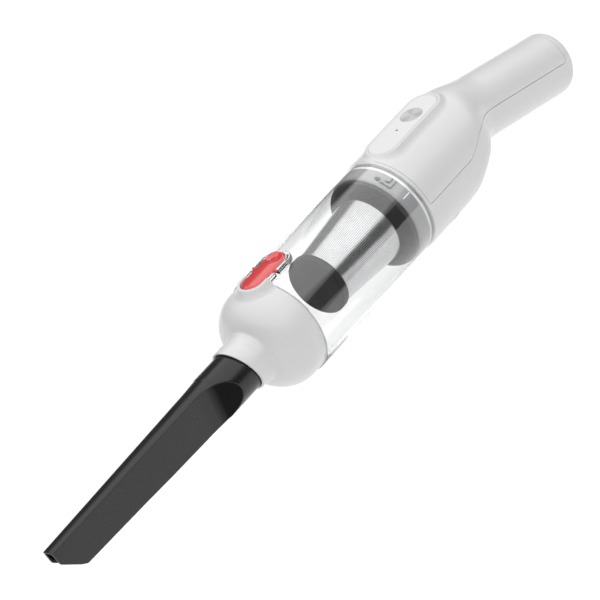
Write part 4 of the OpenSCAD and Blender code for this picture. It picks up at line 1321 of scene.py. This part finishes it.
class VACUUM_OT_controls(Builder, bpy.types.Operator):
    """Raised boss, control pad, spun-metal power button and light"""

    bl_idname = "vacuum.controls"
    bl_label = "Controls"

    def build(self, look):
        grow = 2.4
        spine, normal = slot_path(PAD_X1 - grow, PAD_X2 + grow, PAD_HALF + grow, 48, 60)
        plan = spine + normal * (PAD_HALF + grow)
        boss = apron(plan, normal, skin_height, PAD_TOP - 0.1, 4.0, grow - 0.12, 34.6, True, 2.2)
        put("pad_boss", [boss], "body", "shell_white", crease=28)
        self.pad()
        self.button(look)
        top, foot = PAD_TOP, low("status_light").z
        pipe = [[0.0, top + 0.02], [0.8, top + 0.02], [0.92, top - 0.04], [0.95, top - 1.3],
                [1.2, top - 1.4], [1.2, foot], [0.0, foot]]
        put("light_dot", [self.upright(pipe, LIGHT_X, 48)], "body", "light_pipe", ("status_light",))

    @staticmethod
    def upright(outline, x, turns):
        """Revolves [radius, height] pairs about an upright line at station x."""
        p = np.asarray(outline, float)
        t = np.linspace(0, 2 * np.pi, turns + 1)
        r, z = p[:, :1], p[:, 1:]
        return surface(coords(x + r * np.cos(t), r * np.sin(t), z))

    def pad(self):
        """Flat pad with a lip line inside its edge."""
        spine, normal = slot_path(PAD_X1, PAD_X2, PAD_HALF, 48, 60)
        profile = np.array([[0.0, -1.2], [0.5, -1.2], [0.97, -1.2], [1.0, -1.1], [1.0, -0.6],
                            [1.0, -0.16], [0.985, -0.05], [0.965, 0.0], [0.94, 0.0], [0.925, -0.05],
                            [0.915, -0.09], [0.905, -0.05], [0.895, 0.0], [0.86, 0.0], [0.5, 0.0],
                            [0.0, 0.0]])
        off, z = profile[:, 0], profile[:, 1] + PAD_TOP
        xy = spine[None] + normal[None] * (off * PAD_HALF)[:, None, None]
        rows = np.concatenate([xy, np.repeat(z[:, None, None], len(spine), 1)], -1)
        put("pad", [surface(rows, wrap_cols=True)], "body", "pad_white", ("control_panel",), crease=30)

    def button(self, look):
        """Round button: rolled edge, shallow cone dished to the middle, skirt and stem."""
        top = BUTTON_TOP
        edge = [[0.0, top - 0.30], [3.3, top - 0.19], [6.6, top - 0.08], [7.0, top - 0.02],
                [7.35, top], [7.6, top - 0.06], [7.78, top - 0.2], [BUTTON_R, top - 0.5],
                [BUTTON_R, top - 2.0], [BUTTON_R, 32.1], [BUTTON_R + 1.2, 32.1],
                [BUTTON_R + 1.2, 31.3], [3.0, 31.3], [3.0, 30.2], [0.0, 30.2]]
        put("button", [self.upright(edge, BUTTON_X, look.turns)], "button", "button_metal",
            ("power_button",), crease=40)


class VACUUM_OT_inside(Builder, bpy.types.Operator):
    """Finishes of the parts that stay as the frame has them"""

    bl_idname = "vacuum.inside"
    bl_label = "Inner Parts"

    def build(self, look):
        slots = {s["node"]: s["material_slot"] for s in frame["record"]["subparts"]}
        for name, obj in frame["nodes"].items():
            material = finish(slots[name])
            obj.data.materials.clear()
            obj.data.materials.append(material)


class VACUUM_PT_panel(bpy.types.Panel):
    """Settings and one button for each group of pieces"""

    bl_idname = "VACUUM_PT_panel"
    bl_label = "Handheld Vacuum"
    bl_space_type = "VIEW_3D"
    bl_region_type = "UI"
    bl_category = "Vacuum"

    def draw(self, context):
        """Lists the settings and the operators."""
        look = context.scene.vacuum_look
        for key in VacuumLook.__annotations__:
            self.layout.prop(look, key)
        for operator in BUILD_ORDER:
            self.layout.operator(operator.bl_idname)


BUILD_ORDER = (VACUUM_OT_stage, VACUUM_OT_inside, VACUUM_OT_nose, VACUUM_OT_tool, VACUUM_OT_latch,
               VACUUM_OT_cup, VACUUM_OT_filter, VACUUM_OT_sleeve, VACUUM_OT_covers, VACUUM_OT_controls)
CLASSES = (VacuumLook,) + BUILD_ORDER + (VACUUM_PT_panel,)


def register():
    """Registers the classes and the scene's settings."""
    for cls in CLASSES:
        bpy.utils.register_class(cls)
    bpy.types.Scene.vacuum_look = PointerProperty(type=VacuumLook)


def unregister():
    """Takes the settings and classes away."""
    del bpy.types.Scene.vacuum_look
    for cls in reversed(CLASSES):
        bpy.utils.unregister_class(cls)


def main():
    """Builds everything in order."""
    register()
    bpy.ops.vacuum.stage()
    bpy.ops.vacuum.inside()
    bpy.ops.vacuum.nose()
    bpy.ops.vacuum.tool()
    bpy.ops.vacuum.latch()
    bpy.ops.vacuum.cup()
    bpy.ops.vacuum.filter()
    bpy.ops.vacuum.sleeve()
    bpy.ops.vacuum.covers()
    bpy.ops.vacuum.controls()
    bpy.context.view_layer.update()


if __name__ == "__main__":
    main()
